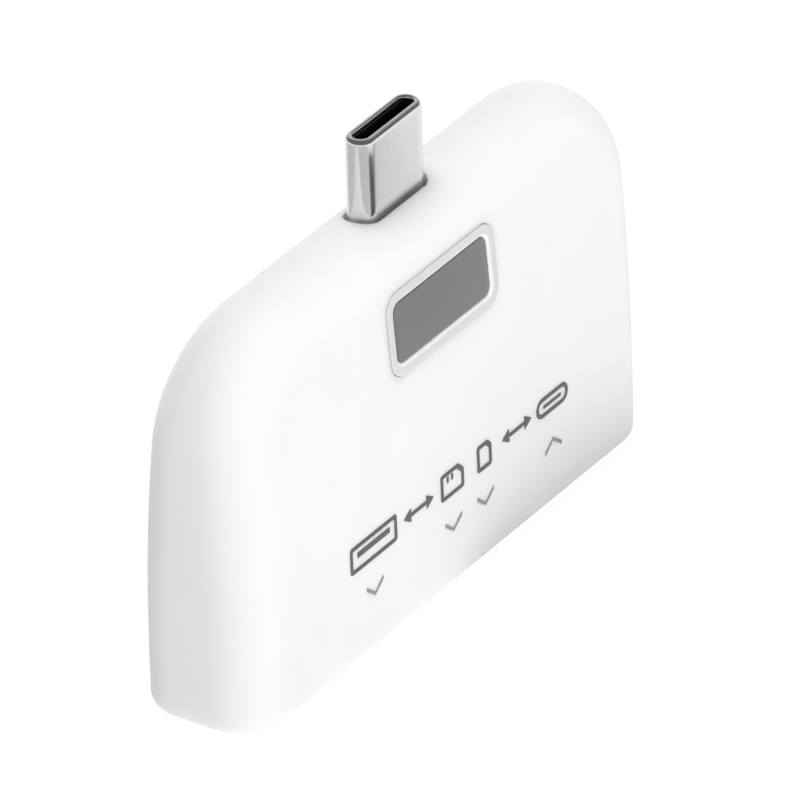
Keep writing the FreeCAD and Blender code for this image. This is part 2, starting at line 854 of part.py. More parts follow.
def card_socket(name, side, x, width, thickness, floor, rail, cover, low, length, rear_wall, window, pins):
    inner_half = width / 2
    outer_half = inner_half + rail
    high = low + length
    floor_y = board_half + floor
    roof_y = floor_y + thickness
    base = block(x - outer_half, x + outer_half, board_half, roof_y, low, high)
    base = base.cut(block(x - inner_half, x + inner_half, floor_y, roof_y + overrun, low - overrun, high - rear_wall))
    top_y = roof_y + cover
    folded = block(x - outer_half - cover, x + outer_half + cover, board_half, top_y, low + cover, high - cover)
    folded = folded.cut(block(x - outer_half, x + outer_half, 0.0, roof_y, low - overrun, high + overrun))
    window_width, window_length = window
    window_cuts = []
    for place in centred_places(2, inner_half):
        window_cuts.append(
            block(
                x + place - window_width / 2,
                x + place + window_width / 2,
                roof_y - overrun,
                top_y + overrun,
                high - rear_wall - window_length,
                high - rear_wall,
            )
        )
    folded = folded.cut(window_cuts)
    count, pitch, pin_width, pin_thickness, pin_length, bump, tail = pins
    seat = board_half + pin_thickness / 2
    wall = high - rear_wall
    path = [
        (seat, high + tail),
        (seat, wall + pin_thickness),
        (floor_y + pin_thickness / 2, wall - pin_thickness),
        (floor_y + bump, wall - pin_length * 2 / 3),
        (floor_y + pin_thickness, wall - pin_length),
    ]
    contacts = [strip(path, pin_thickness, x + place, pin_width) for place in centred_places(count, pitch)]
    base = base.cut(contacts)
    shapes = ((base, "_base"), (folded, "_cover"), (Part.makeCompound(contacts), "_contacts"))
    for shape, ending in shapes:
        if side < 0:
            shape = shape.mirror(Vector(0, 0, 0), Vector(0, 1, 0))
        export(shape, name + ending)


card_socket(
    "card_socket",
    1,
    card_x,
    card_width,
    card_thickness,
    card_floor,
    card_rail,
    card_cover,
    card_bottom,
    card_length,
    card_rear_wall,
    (card_window_width, card_window_length),
    (card_pins, card_pitch, card_pin_width, card_pin_thickness, card_pin_length, card_pin_bump, card_pin_tail),
)
card_socket(
    "small_card_socket",
    -1,
    small_x,
    small_width,
    small_thickness,
    small_floor,
    small_rail,
    small_cover,
    small_bottom,
    small_length,
    small_rear_wall,
    (small_window_width, small_window_length),
    (
        small_pins,
        small_pitch,
        small_pin_width,
        small_pin_thickness,
        small_pin_length,
        small_pin_bump,
        small_pin_tail,
    ),
)

# Controller: moulded body above the board front and two rows of bent leads
chip_z = host_end + chip_above_host
chip_near = -board_half - chip_standoff
chip_far = chip_near - chip_height
reader_chip = block(
    host_x - chip_length / 2,
    host_x + chip_length / 2,
    chip_far,
    chip_near,
    chip_z - chip_width / 2,
    chip_z + chip_width / 2,
)
chip_top_edges = [edge for edge in reader_chip.Edges if edge.CenterOfMass.y < chip_far + 0.01]
reader_chip = reader_chip.makeChamfer(chip_standoff, chip_top_edges)
export(reader_chip, "reader_chip")


def leads(package, x_places, x_middle, z_middle, half_width, root_y, thickness, width, reach):
    # Bent leads from the two long sides of a package down to the board front; each place names its side.
    foot_y = -board_half - thickness / 2
    solids = []
    for place, side in x_places:
        path = [
            (root_y, z_middle + side * (half_width - thickness)),
            (foot_y, z_middle + side * (half_width + reach / 2)),
            (foot_y, z_middle + side * (half_width + reach)),
        ]
        solids.append(strip(path, thickness, x_middle + place, width).cut(package))
    return solids


chip_root = (chip_near + chip_far) / 2
chip_places = [(place, side) for place in centred_places(chip_lead_pairs, chip_lead_pitch) for side in (-1, 1)]
chip_leads = leads(
    reader_chip,
    chip_places,
    host_x,
    chip_z,
    chip_width / 2,
    chip_root,
    chip_lead_thickness,
    chip_lead_width,
    chip_lead_reach,
)
export(Part.makeCompound(chip_leads), "reader_chip_leads")

# Clock: base on the board front between the chip and the window, and its metal lid
crystal_x = hook_x + crystal_length / 2
crystal_z = host_end + crystal_length
crystal_low = -board_half - crystal_base_height
crystal_base = block(
    crystal_x - crystal_length / 2,
    crystal_x + crystal_length / 2,
    crystal_low,
    -board_half,
    crystal_z - crystal_width / 2,
    crystal_z + crystal_width / 2,
)
export(crystal_base, "crystal_base")
crystal_lid = block(
    crystal_x - crystal_length / 2 + crystal_lid_margin,
    crystal_x + crystal_length / 2 - crystal_lid_margin,
    crystal_low - crystal_lid_height,
    crystal_low,
    crystal_z - crystal_width / 2 + crystal_lid_margin,
    crystal_z + crystal_width / 2 - crystal_lid_margin,
)
export(crystal_lid, "crystal_lid")

# Supply regulator on the board front, above the small card socket
regulator_x = small_x + small_width / 2
regulator_z = chip_z
regulator_near = -board_half - chip_standoff
regulator_far = regulator_near - regulator_height
regulator = block(
    regulator_x - regulator_length / 2,
    regulator_x + regulator_length / 2,
    regulator_far,
    regulator_near,
    regulator_z - regulator_width / 2,
    regulator_z + regulator_width / 2,
)
export(regulator, "regulator")
regulator_places = [(-regulator_lead_pitch, -1), (regulator_lead_pitch, -1), (0.0, 1)]
regulator_leads = leads(
    regulator,
    regulator_places,
    regulator_x,
    regulator_z,
    regulator_width / 2,
    (regulator_near + regulator_far) / 2,
    regulator_lead_thickness,
    regulator_lead_width,
    regulator_lead_reach,
)
export(Part.makeCompound(regulator_leads), "regulator_leads")

# Indicator lamp behind the light guide
lamp_z = plug_base - plug_pin_tail - lamp_width
indicator_lamp = block(
    -lamp_length / 2,
    lamp_length / 2,
    -board_half - lamp_height,
    -board_half,
    lamp_z - lamp_width / 2,
    lamp_z + lamp_width / 2,
)
lamp_edges = [edge for edge in indicator_lamp.Edges if edge.CenterOfMass.y < -board_half - lamp_height + 0.01]
export(indicator_lamp.makeChamfer(lamp_height / 4, lamp_edges), "indicator_lamp")


# Capacitors and resistors

def small_parts(places, height):
    solids = []
    for x, z in places:
        solids.append(
            block(
                x - small_part_length / 2,
                x + small_part_length / 2,
                -board_half - height,
                -board_half,
                z - small_part_width / 2,
                z + small_part_width / 2,
            )
        )
    return Part.makeCompound(solids)


spacing = 2 * small_part_length
row_x = host_x + chip_length / 2 + small_part_length
capacitor_places = [
    (row_x, chip_z - small_part_length),
    (row_x, chip_z),
    (row_x, chip_z + small_part_length),
    (regulator_x - spacing, regulator_z),
    (regulator_x + spacing, regulator_z),
    (host_x - chip_length / 2 - small_part_length, chip_z),
]
resistor_places = [
    (crystal_x, crystal_z - crystal_width),
    (crystal_x + spacing, crystal_z),
    (crystal_x + spacing, crystal_z - small_part_length),
    (lamp_length + small_part_length, lamp_z),
    (-lamp_length - small_part_length, lamp_z),
]
export(small_parts(capacitor_places, capacitor_height), "capacitors")
export(small_parts(resistor_places, resistor_height), "resistors")
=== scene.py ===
import math
import bmesh
import bpy
import numpy as np
from mathutils import Matrix, Vector


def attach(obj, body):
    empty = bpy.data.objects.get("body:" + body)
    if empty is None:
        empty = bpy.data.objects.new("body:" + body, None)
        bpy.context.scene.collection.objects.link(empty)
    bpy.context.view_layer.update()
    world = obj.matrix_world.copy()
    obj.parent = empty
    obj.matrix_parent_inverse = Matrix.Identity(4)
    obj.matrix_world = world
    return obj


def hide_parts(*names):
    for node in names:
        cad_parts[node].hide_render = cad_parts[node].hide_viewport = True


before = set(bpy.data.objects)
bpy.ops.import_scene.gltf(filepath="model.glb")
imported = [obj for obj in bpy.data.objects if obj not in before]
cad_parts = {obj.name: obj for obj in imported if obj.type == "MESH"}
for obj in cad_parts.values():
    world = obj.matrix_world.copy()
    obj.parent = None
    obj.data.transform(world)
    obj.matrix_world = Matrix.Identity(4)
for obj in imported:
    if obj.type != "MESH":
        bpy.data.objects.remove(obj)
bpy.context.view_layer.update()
mm = 0.001  # sizes below are in millimetres, Blender's are in metres
print("frame loaded with", len(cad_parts), "nodes")


# Shader helpers

def addNode(tree, kind, **values):
    # a new node with its settings
    node = tree.nodes.new(kind)
    for key, value in values.items():
        setattr(node, key, value)
    return node


def startGroup(name, inputs, outputs):
    # a shared effect with named sockets; inputs carry their own default values
    group = bpy.data.node_groups.new(name, "ShaderNodeTree")
    kinds = {"value": "NodeSocketFloat", "vector": "NodeSocketVector", "colour": "NodeSocketColor"}
    for label, kind, default in inputs:
        socket = group.interface.new_socket(label, in_out="INPUT", socket_type=kinds[kind])
        if default is not None:
            socket.default_value = default
    for label, kind in outputs:
        group.interface.new_socket(label, in_out="OUTPUT", socket_type=kinds[kind])
    return group, addNode(group, "NodeGroupInput"), addNode(group, "NodeGroupOutput")


def spread(tree, value, low, high):
    # value from 0 to 1 carried to low and high sockets
    node = addNode(tree, "ShaderNodeMapRange")
    tree.links.new(value, node.inputs["Value"])
    tree.links.new(low, node.inputs["To Min"])
    tree.links.new(high, node.inputs["To Max"])
    return node.outputs["Result"]


def toneMix(tree, value, first, second):
    # from the first colour to the second; a Mix node's colour sockets are 6 and 7 in, and 2 out
    node = addNode(tree, "ShaderNodeMix", data_type="RGBA")
    tree.links.new(value, node.inputs[0])
    tree.links.new(first, node.inputs[6])
    tree.links.new(second, node.inputs[7])
    return node.outputs[2]


def noiseOn(tree, vector, scale, detail):
    # noise on a vector; its scale is a number or a socket
    node = addNode(tree, "ShaderNodeTexNoise")
    tree.links.new(vector, node.inputs["Vector"])
    node.inputs["Detail"].default_value = detail
    if isinstance(scale, (int, float)):
        node.inputs["Scale"].default_value = scale
    else:
        tree.links.new(scale, node.inputs["Scale"])
    return node.outputs["Fac"]


def makeMouldGrain():
    # spark-eroded mould texture: fine noise for height, broad noise for gloss and a slight change of tone
    inputs = [
        ("Vector", "vector", None),
        ("Fine scale", "value", 7000.0),
        ("Broad scale", "value", 120.0),
        ("First tone", "colour", None),
        ("Second tone", "colour", None),
        ("Low roughness", "value", 0.3),
        ("High roughness", "value", 0.4),
    ]
    outputs = [("Colour", "colour"), ("Roughness", "value"), ("Height", "value")]
    group, source, sink = startGroup("mouldGrain", inputs, outputs)
    fine = noiseOn(group, source.outputs["Vector"], source.outputs["Fine scale"], detail=3.0)
    broad = noiseOn(group, source.outputs["Vector"], source.outputs["Broad scale"], detail=2.0)
    tone = toneMix(group, broad, source.outputs["First tone"], source.outputs["Second tone"])
    gloss = spread(group, broad, source.outputs["Low roughness"], source.outputs["High roughness"])
    group.links.new(tone, sink.inputs["Colour"])
    group.links.new(gloss, sink.inputs["Roughness"])
    group.links.new(fine, sink.inputs["Height"])
    return group


def makeDrawnLines():
    # die lines of drawn and rolled sheet: noise squeezed across the working direction
    inputs = [
        ("Vector", "vector", None),
        ("Squeeze", "vector", None),
        ("First tone", "colour", None),
        ("Second tone", "colour", None),
        ("Low roughness", "value", 0.15),
        ("High roughness", "value", 0.3),
    ]
    outputs = [("Colour", "colour"), ("Roughness", "value"), ("Height", "value")]
    group, source, sink = startGroup("drawnLines", inputs, outputs)
    squeezed = addNode(group, "ShaderNodeVectorMath", operation="MULTIPLY")
    group.links.new(source.outputs["Vector"], squeezed.inputs[0])
    group.links.new(source.outputs["Squeeze"], squeezed.inputs[1])
    lines = noiseOn(group, squeezed.outputs[0], scale=1.0, detail=4.0)
    clouds = noiseOn(group, source.outputs["Vector"], scale=350.0, detail=2.0)
    tone = toneMix(group, lines, source.outputs["First tone"], source.outputs["Second tone"])
    gloss = spread(group, clouds, source.outputs["Low roughness"], source.outputs["High roughness"])
    group.links.new(tone, sink.inputs["Colour"])
    group.links.new(gloss, sink.inputs["Roughness"])
    group.links.new(lines, sink.inputs["Height"])
    return group


mouldGrain = makeMouldGrain()
drawnLines = makeDrawnLines()


def finishFrom(name, group, values, bumpDepth, metallic=0.0, **shaderValues):
    # a material whose colour, gloss and bump come from one shared group
    finish = bpy.data.materials.new(name)
    finish.use_nodes = True
    tree = finish.node_tree
    shader = tree.nodes["Principled BSDF"]
    shader.inputs["Metallic"].default_value = metallic
    for label, value in shaderValues.items():
        shader.inputs[label.replace("_", " ")].default_value = value
    place = addNode(tree, "ShaderNodeTexCoord")
    effect = addNode(tree, "ShaderNodeGroup", node_tree=group)
    for label, value in values.items():
        effect.inputs[label].default_value = value
    bump = addNode(tree, "ShaderNodeBump")
    bump.inputs["Distance"].default_value = bumpDepth * mm
    tree.links.new(place.outputs["Object"], effect.inputs["Vector"])
    tree.links.new(effect.outputs["Colour"], shader.inputs["Base Color"])
    tree.links.new(effect.outputs["Roughness"], shader.inputs["Roughness"])
    tree.links.new(effect.outputs["Height"], bump.inputs["Height"])
    tree.links.new(bump.outputs["Normal"], shader.inputs["Normal"])
    return finish


def moulded(name, first, second, low, high, bumpDepth, fine=7000.0, **shaderValues):
    # plastic, ceramic or ink: two tones, lowest and highest roughness, depth of the grain in millimetres
    values = {
        "Fine scale": fine,
        "First tone": (*first, 1),
        "Second tone": (*second, 1),
        "Low roughness": low,
        "High roughness": high,
    }
    return finishFrom(name, mouldGrain, values, bumpDepth, **shaderValues)


def metal(name, first, second, low, high, bumpDepth, squeeze):
    # drawn or rolled metal: the same values, and the squeeze that gives its lines their direction
    values = {
        "Squeeze": squeeze,
        "First tone": (*first, 1),
        "Second tone": (*second, 1),
        "Low roughness": low,
        "High roughness": high,
    }
    return finishFrom(name, drawnLines, values, bumpDepth, metallic=1.0)


# light goes a little way into the white plastic
milky = {"Subsurface_Weight": 0.8, "Subsurface_Radius": (1.0, 1.0, 1.0), "Subsurface_Scale": 1.0 * mm}
whiteCase = moulded("whiteCase", (0.86, 0.86, 0.855), (0.9, 0.9, 0.895), 0.34, 0.44, 0.0012, **milky)
frostedFrame = moulded(
    "frostedFrame", (0.68, 0.683, 0.685), (0.73, 0.733, 0.735), 0.2, 0.28, 0.0008, **milky
)
# the bevel's lighter tone is a painted highlight: the frame's frosted plastic made lighter so a bright line
# runs along the inner lip; its lower roughness is the polished lip's own
paintedHighlightBevel = moulded("paintedHighlightBevel", (0.88, 0.882, 0.884), (0.91, 0.912, 0.914), 0.12, 0.18, 0.0004)
smokedWindow = moulded("smokedWindow", (0.175, 0.176, 0.178), (0.19, 0.191, 0.193), 0.16, 0.24, 0.0004)
blackInsulator = moulded("blackInsulator", (0.008, 0.008, 0.009), (0.014, 0.014, 0.015), 0.45, 0.6, 0.002)
whiteInsulator = moulded("whiteInsulator", (0.7, 0.7, 0.69), (0.78, 0.78, 0.77), 0.4, 0.5, 0.002)
chipBlack = moulded("chipBlack", (0.016, 0.016, 0.018), (0.028, 0.028, 0.03), 0.5, 0.65, 0.003)
boardGreen = moulded("boardGreen", (0.012, 0.11, 0.05), (0.02, 0.16, 0.075), 0.25, 0.4, 0.004, fine=2500.0)
ceramicTan = moulded("ceramicTan", (0.38, 0.27, 0.16), (0.46, 0.34, 0.21), 0.4, 0.55, 0.002)
lampClear = moulded("lampClear", (0.72, 0.7, 0.5), (0.8, 0.78, 0.6), 0.1, 0.2, 0.001)
darkInk = moulded("darkInk", (0.1, 0.1, 0.102), (0.13, 0.13, 0.132), 0.5, 0.65, 0.001)
greyInk = moulded("greyInk", (0.27, 0.27, 0.272), (0.33, 0.33, 0.332), 0.5, 0.65, 0.001)
plugNickel = metal(
    "plugNickel", (0.74, 0.738, 0.733), (0.8, 0.798, 0.793), 0.12, 0.18, 0.0006, (9000, 9000, 90)
)
springSteel = metal(
    "springSteel", (0.45, 0.45, 0.455), (0.52, 0.52, 0.525), 0.22, 0.34, 0.001, (7000, 7000, 120)
)
socketSteel = metal(
    "socketSteel", (0.55, 0.55, 0.545), (0.64, 0.64, 0.635), 0.2, 0.32, 0.001, (120, 6000, 6000)
)
contactGold = metal(
    "contactGold", (0.8, 0.55, 0.2), (0.88, 0.63, 0.27), 0.16, 0.28, 0.0008, (8000, 8000, 200)
)
tinnedLead = metal(
    "tinnedLead", (0.58, 0.58, 0.585), (0.68, 0.68, 0.685), 0.25, 0.4, 0.002, (3000, 3000, 3000)
)
print("finishes ready")

nodeFinishes = {
    "end_cap": whiteCase,
    "plug_insulator": blackInsulator,
    "plug_contacts_front": contactGold,
    "plug_contacts_back": contactGold,
    "plug_latch": springSteel,
    "plug_ground_spring_front": springSteel,
    "plug_ground_spring_back": springSteel,
    "circuit_board": boardGreen,
    "host_socket_shell": socketSteel,
    "host_socket_body": whiteInsulator,
    "host_socket_contacts": contactGold,
    "card_socket_base": blackInsulator,
    "card_socket_cover": socketSteel,
    "card_socket_contacts": contactGold,
    "small_card_socket_base": blackInsulator,
    "small_card_socket_cover": socketSteel,
    "small_card_socket_contacts": contactGold,
    "reader_chip": chipBlack,
    "reader_chip_leads": tinnedLead,
    "crystal_base": ceramicTan,
    "crystal_lid": tinnedLead,
    "regulator": chipBlack,
    "regulator_leads": tinnedLead,
    "indicator_lamp": lampClear,
    "capacitors": ceramicTan,
    "resistors": chipBlack,
}
for nodeName, finish in nodeFinishes.items():
    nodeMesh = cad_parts[nodeName].data
    nodeMesh.materials.clear()
    nodeMesh.materials.append(finish)


# Mesh helpers

weld = {"seam": 0.0002, "sliver": 0.0001}  # points and edges nearer than this become one
arcDensity = 3  # an arc gets this many times the points of a straight of its length
fullRound = 0.9999  # radius of a round end as a share of its half height, so that a trace of the flat stays
leastSpan = 1e-9  # stands in for a straight that has no length


def gridFaces(rows, columns, wrap):
    # each cell of the grid is one quad; wrap joins the last column to the first
    row = np.arange(rows - 1)[:, None]
    column = np.arange(columns if wrap else columns - 1)[None, :]
    following = (column + 1) % columns
    corners = (
        row * columns + column,
        row * columns + following,
        (row + 1) * columns + following,
        (row + 1) * columns + column,
    )
    return np.stack(np.broadcast_arrays(*corners), -1).reshape(-1, 4)


def addPiece(name, patches, finish, standsFor=()):
    # grids of points are joined, their seams merged and their faces turned outwards
    # a patch is a grid, whether its rows close, and its own finish where it has one
    points, faces, finishes, start = [], [], [], 0
    paints = [finish]
    for grid, wrap, *own in patches:
        points.append(grid.reshape(-1, 3))
        faces.append(gridFaces(grid.shape[0], grid.shape[1], wrap) + start)
        paints += [paint for paint in own if paint not in paints]
        finishes += [paints.index(own[0]) if own else 0] * len(faces[-1])
        start += grid.shape[0] * grid.shape[1]
    mesh = bpy.data.meshes.new(name)
    mesh.from_pydata((np.concatenate(points) * mm).tolist(), [], np.concatenate(faces).tolist())
    mesh.polygons.foreach_set("material_index", finishes)
    build = bmesh.new()
    build.from_mesh(mesh)
    bmesh.ops.remove_doubles(build, verts=build.verts, dist=weld["seam"] * mm)
    bmesh.ops.dissolve_degenerate(build, edges=build.edges, dist=weld["sliver"] * mm)
    bmesh.ops.recalc_face_normals(build, faces=build.faces)
    openEdges = sum(not edge.is_manifold for edge in build.edges)
    build.to_mesh(mesh)
    build.free()
    mesh.shade_smooth()
    for paint in paints:
        mesh.materials.append(paint)
    piece = bpy.data.objects.new(name, mesh)
    bpy.context.scene.collection.objects.link(piece)
    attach(piece, "root")
    if standsFor:
        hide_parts(*standsFor)
    print("made", name, "with", len(mesh.polygons), "faces and", openEdges, "open edges")
    return piece


def joinSides(sides):
    # sides that each end where the next one starts become one closed loop
    return np.concatenate([side[:-1] for side in sides])


def roundedSides(corners, radius, counts):
    # outline with a tangent arc at every corner
    # side i runs from the middle of arc i to the middle of arc i + 1
    corners = np.asarray(corners, float)
    toLast = np.roll(corners, 1, 0) - corners
    toNext = np.roll(corners, -1, 0) - corners
    toLast /= np.linalg.norm(toLast, axis=1)[:, None]
    toNext /= np.linalg.norm(toNext, axis=1)[:, None]
    half = np.arccos(np.clip((toLast * toNext).sum(1), -1, 1)) / 2
    middle = toLast + toNext
    middle /= np.linalg.norm(middle, axis=1)[:, None]
    radius = np.broadcast_to(np.asarray(radius, float), half.shape)
    centre = corners + middle * (radius / np.sin(half))[:, None]
    reach = (radius / np.tan(half))[:, None]
    entry, leave = corners + toLast * reach, corners + toNext * reach
    sweep = np.pi - 2 * half

    def onArc(index, t):
        first = (np.sin((1 - t) * sweep[index]) / np.sin(sweep[index]))[:, None]
        second = (np.sin(t * sweep[index]) / np.sin(sweep[index]))[:, None]
        toEntry, toLeave = entry[index] - centre[index], leave[index] - centre[index]
        return centre[index] + first * toEntry + second * toLeave

    sides = []
    for index, count in enumerate(counts):
        after = (index + 1) % len(corners)
        straight = np.linalg.norm(entry[after] - leave[index])
        bends = arcDensity * np.array([radius[index] * sweep[index], radius[after] * sweep[after]]) / 2
        low, high = np.array([bends[0], bends[0] + straight]) / (bends.sum() + straight)
        share = np.linspace(0, 1, count)
        onFirst = onArc(index, 0.5 + 0.5 * np.clip(share / low, 0, 1))
        onSecond = onArc(after, 0.5 * np.clip((share - high) / (1 - high), 0, 1))
        along = np.clip((share - low) / max(high - low, leastSpan), 0, 1)[:, None]
        onStraight = leave[index] + along * (entry[after] - leave[index])
        column = share[:, None]
        sides.append(np.where(column < low, onFirst, np.where(column > high, onSecond, onStraight)))
    return joinSides(sides)


def ringRows(inner, outer, count):
    # loops that go straight from an inner outline to an outer one
    share = np.linspace(0, 1, count)[:, None, None]
    return inner[None] + share * (outer - inner)[None]


def quarterRound(radius, top, count):
    # from the side up to the top: inset from the side, and height
    angle = np.linspace(0, np.pi / 2, count)
    return np.stack([radius * (1 - np.cos(angle)), top - radius * (1 - np.sin(angle))], -1)


# Body: a crowned slab with a rolling round on its rim, a slot on top, a window seat and an open foot

body = {
    "halfWidth": 26.9,
    "height": 31.6,
    "corner": 9.8,
    "halfFoot": 5.6,
    "frontTop": 4.1,  # half thickness at the top, in front and behind
    "backTop": 3.36,
    "upright": 5.0,  # height at which the crown starts
    "edge": 4.1,  # radius of the rolling round
    "wall": 1.2,
    "footRound": 0.9,
    "mouthHalfWidth": 25.69,
    "mouthHalf": 4.14,
    "mouthRound": 2.89,
    "mouthBreak": 0.12,
    "mouthDepth": 1.6,
    "slotHalfWidth": 4.425,
    "slotHalf": 1.5,
    "slotBreak": 0.12,
    "sideRows": 30,
    "cornerRows": 30,
    "topColumns": 91,
    "roundColumns": 15,
    "flatColumns": 3,
    "ringRows": 20,
    "slotBreakRows": 6,
    "slotWallRows": 4,
    "seatBreakRows": 4,
    "footRoundRows": 7,
    "mouthBreakRows": 4,
}
topLine = body["height"] - body["edge"]
cornerX = body["halfWidth"] - body["corner"]
topX = np.linspace(-cornerX, cornerX, body["topColumns"])
footShare = topX / cornerX
roundShare = np.linspace(0, 1, body["roundColumns"])
flatShare = np.linspace(0, 1, body["flatColumns"] + 2)[1:-1]


def crownOf(topHalf):
    # radius of the arc that starts upright over the foot and ends at a half thickness at the top
    arcHeight, leanIn = body["height"] - body["upright"], body["halfFoot"] - topHalf
    return (arcHeight ** 2 + leanIn ** 2) / (2 * leanIn)


def faceHalf(z, topHalf, depth=0.0):
    # half thickness at a height: an upright foot, then a circle tangent to it; depth goes under the skin
    rise = np.maximum(z - body["upright"], 0)
    return body["halfFoot"] - crownOf(topHalf) + np.sqrt((crownOf(topHalf) - depth) ** 2 - rise ** 2)


def faceLean(z, topHalf):
    # sine of the lean of the face where the rolling round touches it
    return np.maximum(z - body["upright"], 0) / (crownOf(topHalf) - body["edge"])


def edgePath(zLow):
    # centre of the rolling round up the left side and round the corner, and the outline's normal there
    angle = np.linspace(np.pi, np.pi / 2, body["cornerRows"])[1:]
    straight = np.linspace(zLow, body["height"] - body["corner"], body["sideRows"])
    small = body["corner"] - body["edge"]
    upright = np.full(len(straight), body["edge"] - body["halfWidth"])
    x = np.concatenate([upright, small * np.cos(angle) - cornerX])
    z = np.concatenate([straight, body["height"] - body["corner"] + small * np.sin(angle)])
    normalX = np.concatenate([np.full(len(straight), -1.0), np.cos(angle)])
    normalZ = np.concatenate([np.zeros(len(straight)), np.sin(angle)])
    return x, z, normalX, normalZ


def rolledEdge(side, topHalf, depth, zLow):
    # on each row the round turns from the face normal to the outline normal; side is -1 in front, 1 behind
    x, z, normalX, normalZ = edgePath(zLow)
    lean = faceLean(z, topHalf)
    angle = np.arccos(normalZ * lean)[:, None]
    toFace = np.sin((1 - roundShare) * angle) / np.sin(angle) * (body["edge"] - depth)
    toSide = np.sin(roundShare * angle) / np.sin(angle) * (body["edge"] - depth)
    y = faceHalf(z, topHalf, body["edge"])[:, None] + toFace * np.sqrt(1 - lean ** 2)[:, None]
    points = [
        x[:, None] + toSide * normalX[:, None],
        side * y,
        z[:, None] + toFace * lean[:, None] + toSide * normalZ[:, None],
    ]
    return np.stack(points, -1)


def sideBand(depth, zLow):
    # front round, the flat between the rounds, and the back round
    front = rolledEdge(-1, body["frontTop"], depth, zLow)
    back = rolledEdge(1, body["backTop"], depth, zLow)[:, ::-1]
    flat = front[:, -1:] + flatShare[None, :, None] * (back[:, :1] - front[:, -1:])
    return np.concatenate([front, flat, back], 1)


# the flat on top runs from the centre of the front round to that of the back round
flatFront = -faceHalf(topLine, body["frontTop"], body["edge"])
flatBack = faceHalf(topLine, body["backTop"], body["edge"])
flatMiddle, flatHalf = (flatFront + flatBack) / 2, (flatBack - flatFront) / 2


def overTop(x, along, depth):
    # the top edge unrolled: along is the length from the middle of the flat and on down the round
    radius = body["edge"] - depth
    angle = np.maximum(np.abs(along) - flatHalf, 0) / radius
    y = flatMiddle + np.sign(along) * (np.minimum(np.abs(along), flatHalf) + radius * np.sin(angle))
    return np.stack([x, y, topLine + radius * np.cos(angle)], -1)


def alongTop(y, depth):
    # the length over the top edge that belongs to a y
    radius, away = body["edge"] - depth, np.abs(y - flatMiddle)
    over = np.clip((away - flatHalf) / radius, 0, 1)
    return np.sign(y - flatMiddle) * (np.minimum(away, flatHalf) + radius * np.arcsin(over))


def slotLoop(grow):
    # the plug's slot grown on every side, with as many points as the outline of the top patch
    half, wide = body["slotHalf"] + grow, body["slotHalfWidth"] + grow
    corners = [(-wide, -half), (wide, -half), (wide, half), (-wide, half)]
    sectionCount = 2 * body["roundColumns"] + body["flatColumns"]
    counts = [body["topColumns"], sectionCount, body["topColumns"], sectionCount]
    return roundedSides(corners, half * fullRound, counts)


def topPatch(depth, grow):
    # rings from the slot to the straight part of the top edge
    drop = (body["edge"] - depth) * (1 - roundShare)
    frontPart = -flatHalf - drop * np.arccos(faceLean(topLine, body["frontTop"]))
    backPart = flatHalf + drop * np.arccos(faceLean(topLine, body["backTop"]))
    section = np.concatenate([frontPart, flatHalf * (2 * flatShare - 1), backPart[::-1]])
    front = np.stack([topX, np.full_like(topX, section[0])], -1)
    back = np.stack([topX[::-1], np.full_like(topX, section[-1])], -1)
    right = np.stack([np.full_like(section, cornerX), section], -1)
    outer = joinSides([front, right, back, right[::-1] * [-1, 1]])
    inner = slotLoop(grow)
    inner[:, 1] = alongTop(inner[:, 1], depth)
    rings = ringRows(inner, outer, body["ringRows"])
    return overTop(rings[..., 0], rings[..., 1], depth)


def slotWall():
    # the slot's edge rolls over and drops to the inside of the wall
    rows = []
    for angle in np.linspace(0, np.pi / 2, body["slotBreakRows"]):
        loop = slotLoop(body["slotBreak"] * (1 - math.sin(angle)))
        skin = overTop(loop[:, 0], alongTop(loop[:, 1], 0.0), 0.0)
        rows.append(skin - [0, 0, body["slotBreak"] * (1 - math.cos(angle))])
    inside = overTop(loop[:, 0], alongTop(loop[:, 1], body["wall"]), body["wall"])
    return np.concatenate([np.stack(rows), ringRows(rows[-1], inside, body["slotWallRows"])[1:]])


window = {
    "halfWidth": 7.075,
    "halfHeight": 3.4,
    "centre": 24.15,
    "corner": 1.5,
    "gap": 0.05,
    "seatBreak": 0.05,
    "frameSide": 0.95,
    "lensCorner": 0.8,
}
rowCount = body["sideRows"] + body["cornerRows"] - 1
faceCounts = [rowCount, body["topColumns"], rowCount, body["topColumns"]]


def windowLoop(grow, corner, counts=faceCounts):
    # window outline grown or shrunk on every side
    high, wide = window["halfHeight"] + grow, window["halfWidth"] + grow
    low, top = window["centre"] - high, window["centre"] + high
    corners = [(-wide, low), (-wide, top), (wide, top), (wide, low)]
    return roundedSides(corners, corner, counts)


def onFace(loop, depth):
    # points of a front outline laid on the crowned face, at a depth under it
    return np.stack([loop[..., 0], -faceHalf(loop[..., 1], body["frontTop"], depth), loop[..., 1]], -1)


def facePoints(topHalf, depth, zLow):
    # where the rolling round meets the face, up the left side and round the corner
    x, z = edgePath(zLow)[:2]
    return x, z + (body["edge"] - depth) * faceLean(z, topHalf)


def frontPatch(depth, zLow, grow):
    # rings from the window seat to the round and the foot
    x, z = facePoints(body["frontTop"], depth, zLow)
    left = np.stack([x, z], -1)
    top = np.stack([topX, np.full_like(topX, z[-1])], -1)
    foot = np.stack([-footShare * (body["halfWidth"] - body["edge"]), np.full_like(topX, zLow)], -1)
    outer = joinSides([left, top, left[::-1] * [-1, 1], foot])
    return onFace(ringRows(windowLoop(grow, window["corner"] + grow), outer, body["ringRows"]), depth)


def backPatch(depth, zLow):
    # rows across the back, each as wide as the face is at its height
    x, z = facePoints(body["backTop"], depth, zLow)
    y = faceHalf(z, body["backTop"], depth)
    grid = np.broadcast_arrays(-x[:, None] * footShare, y[:, None], z[:, None])
    return np.stack(grid, -1)


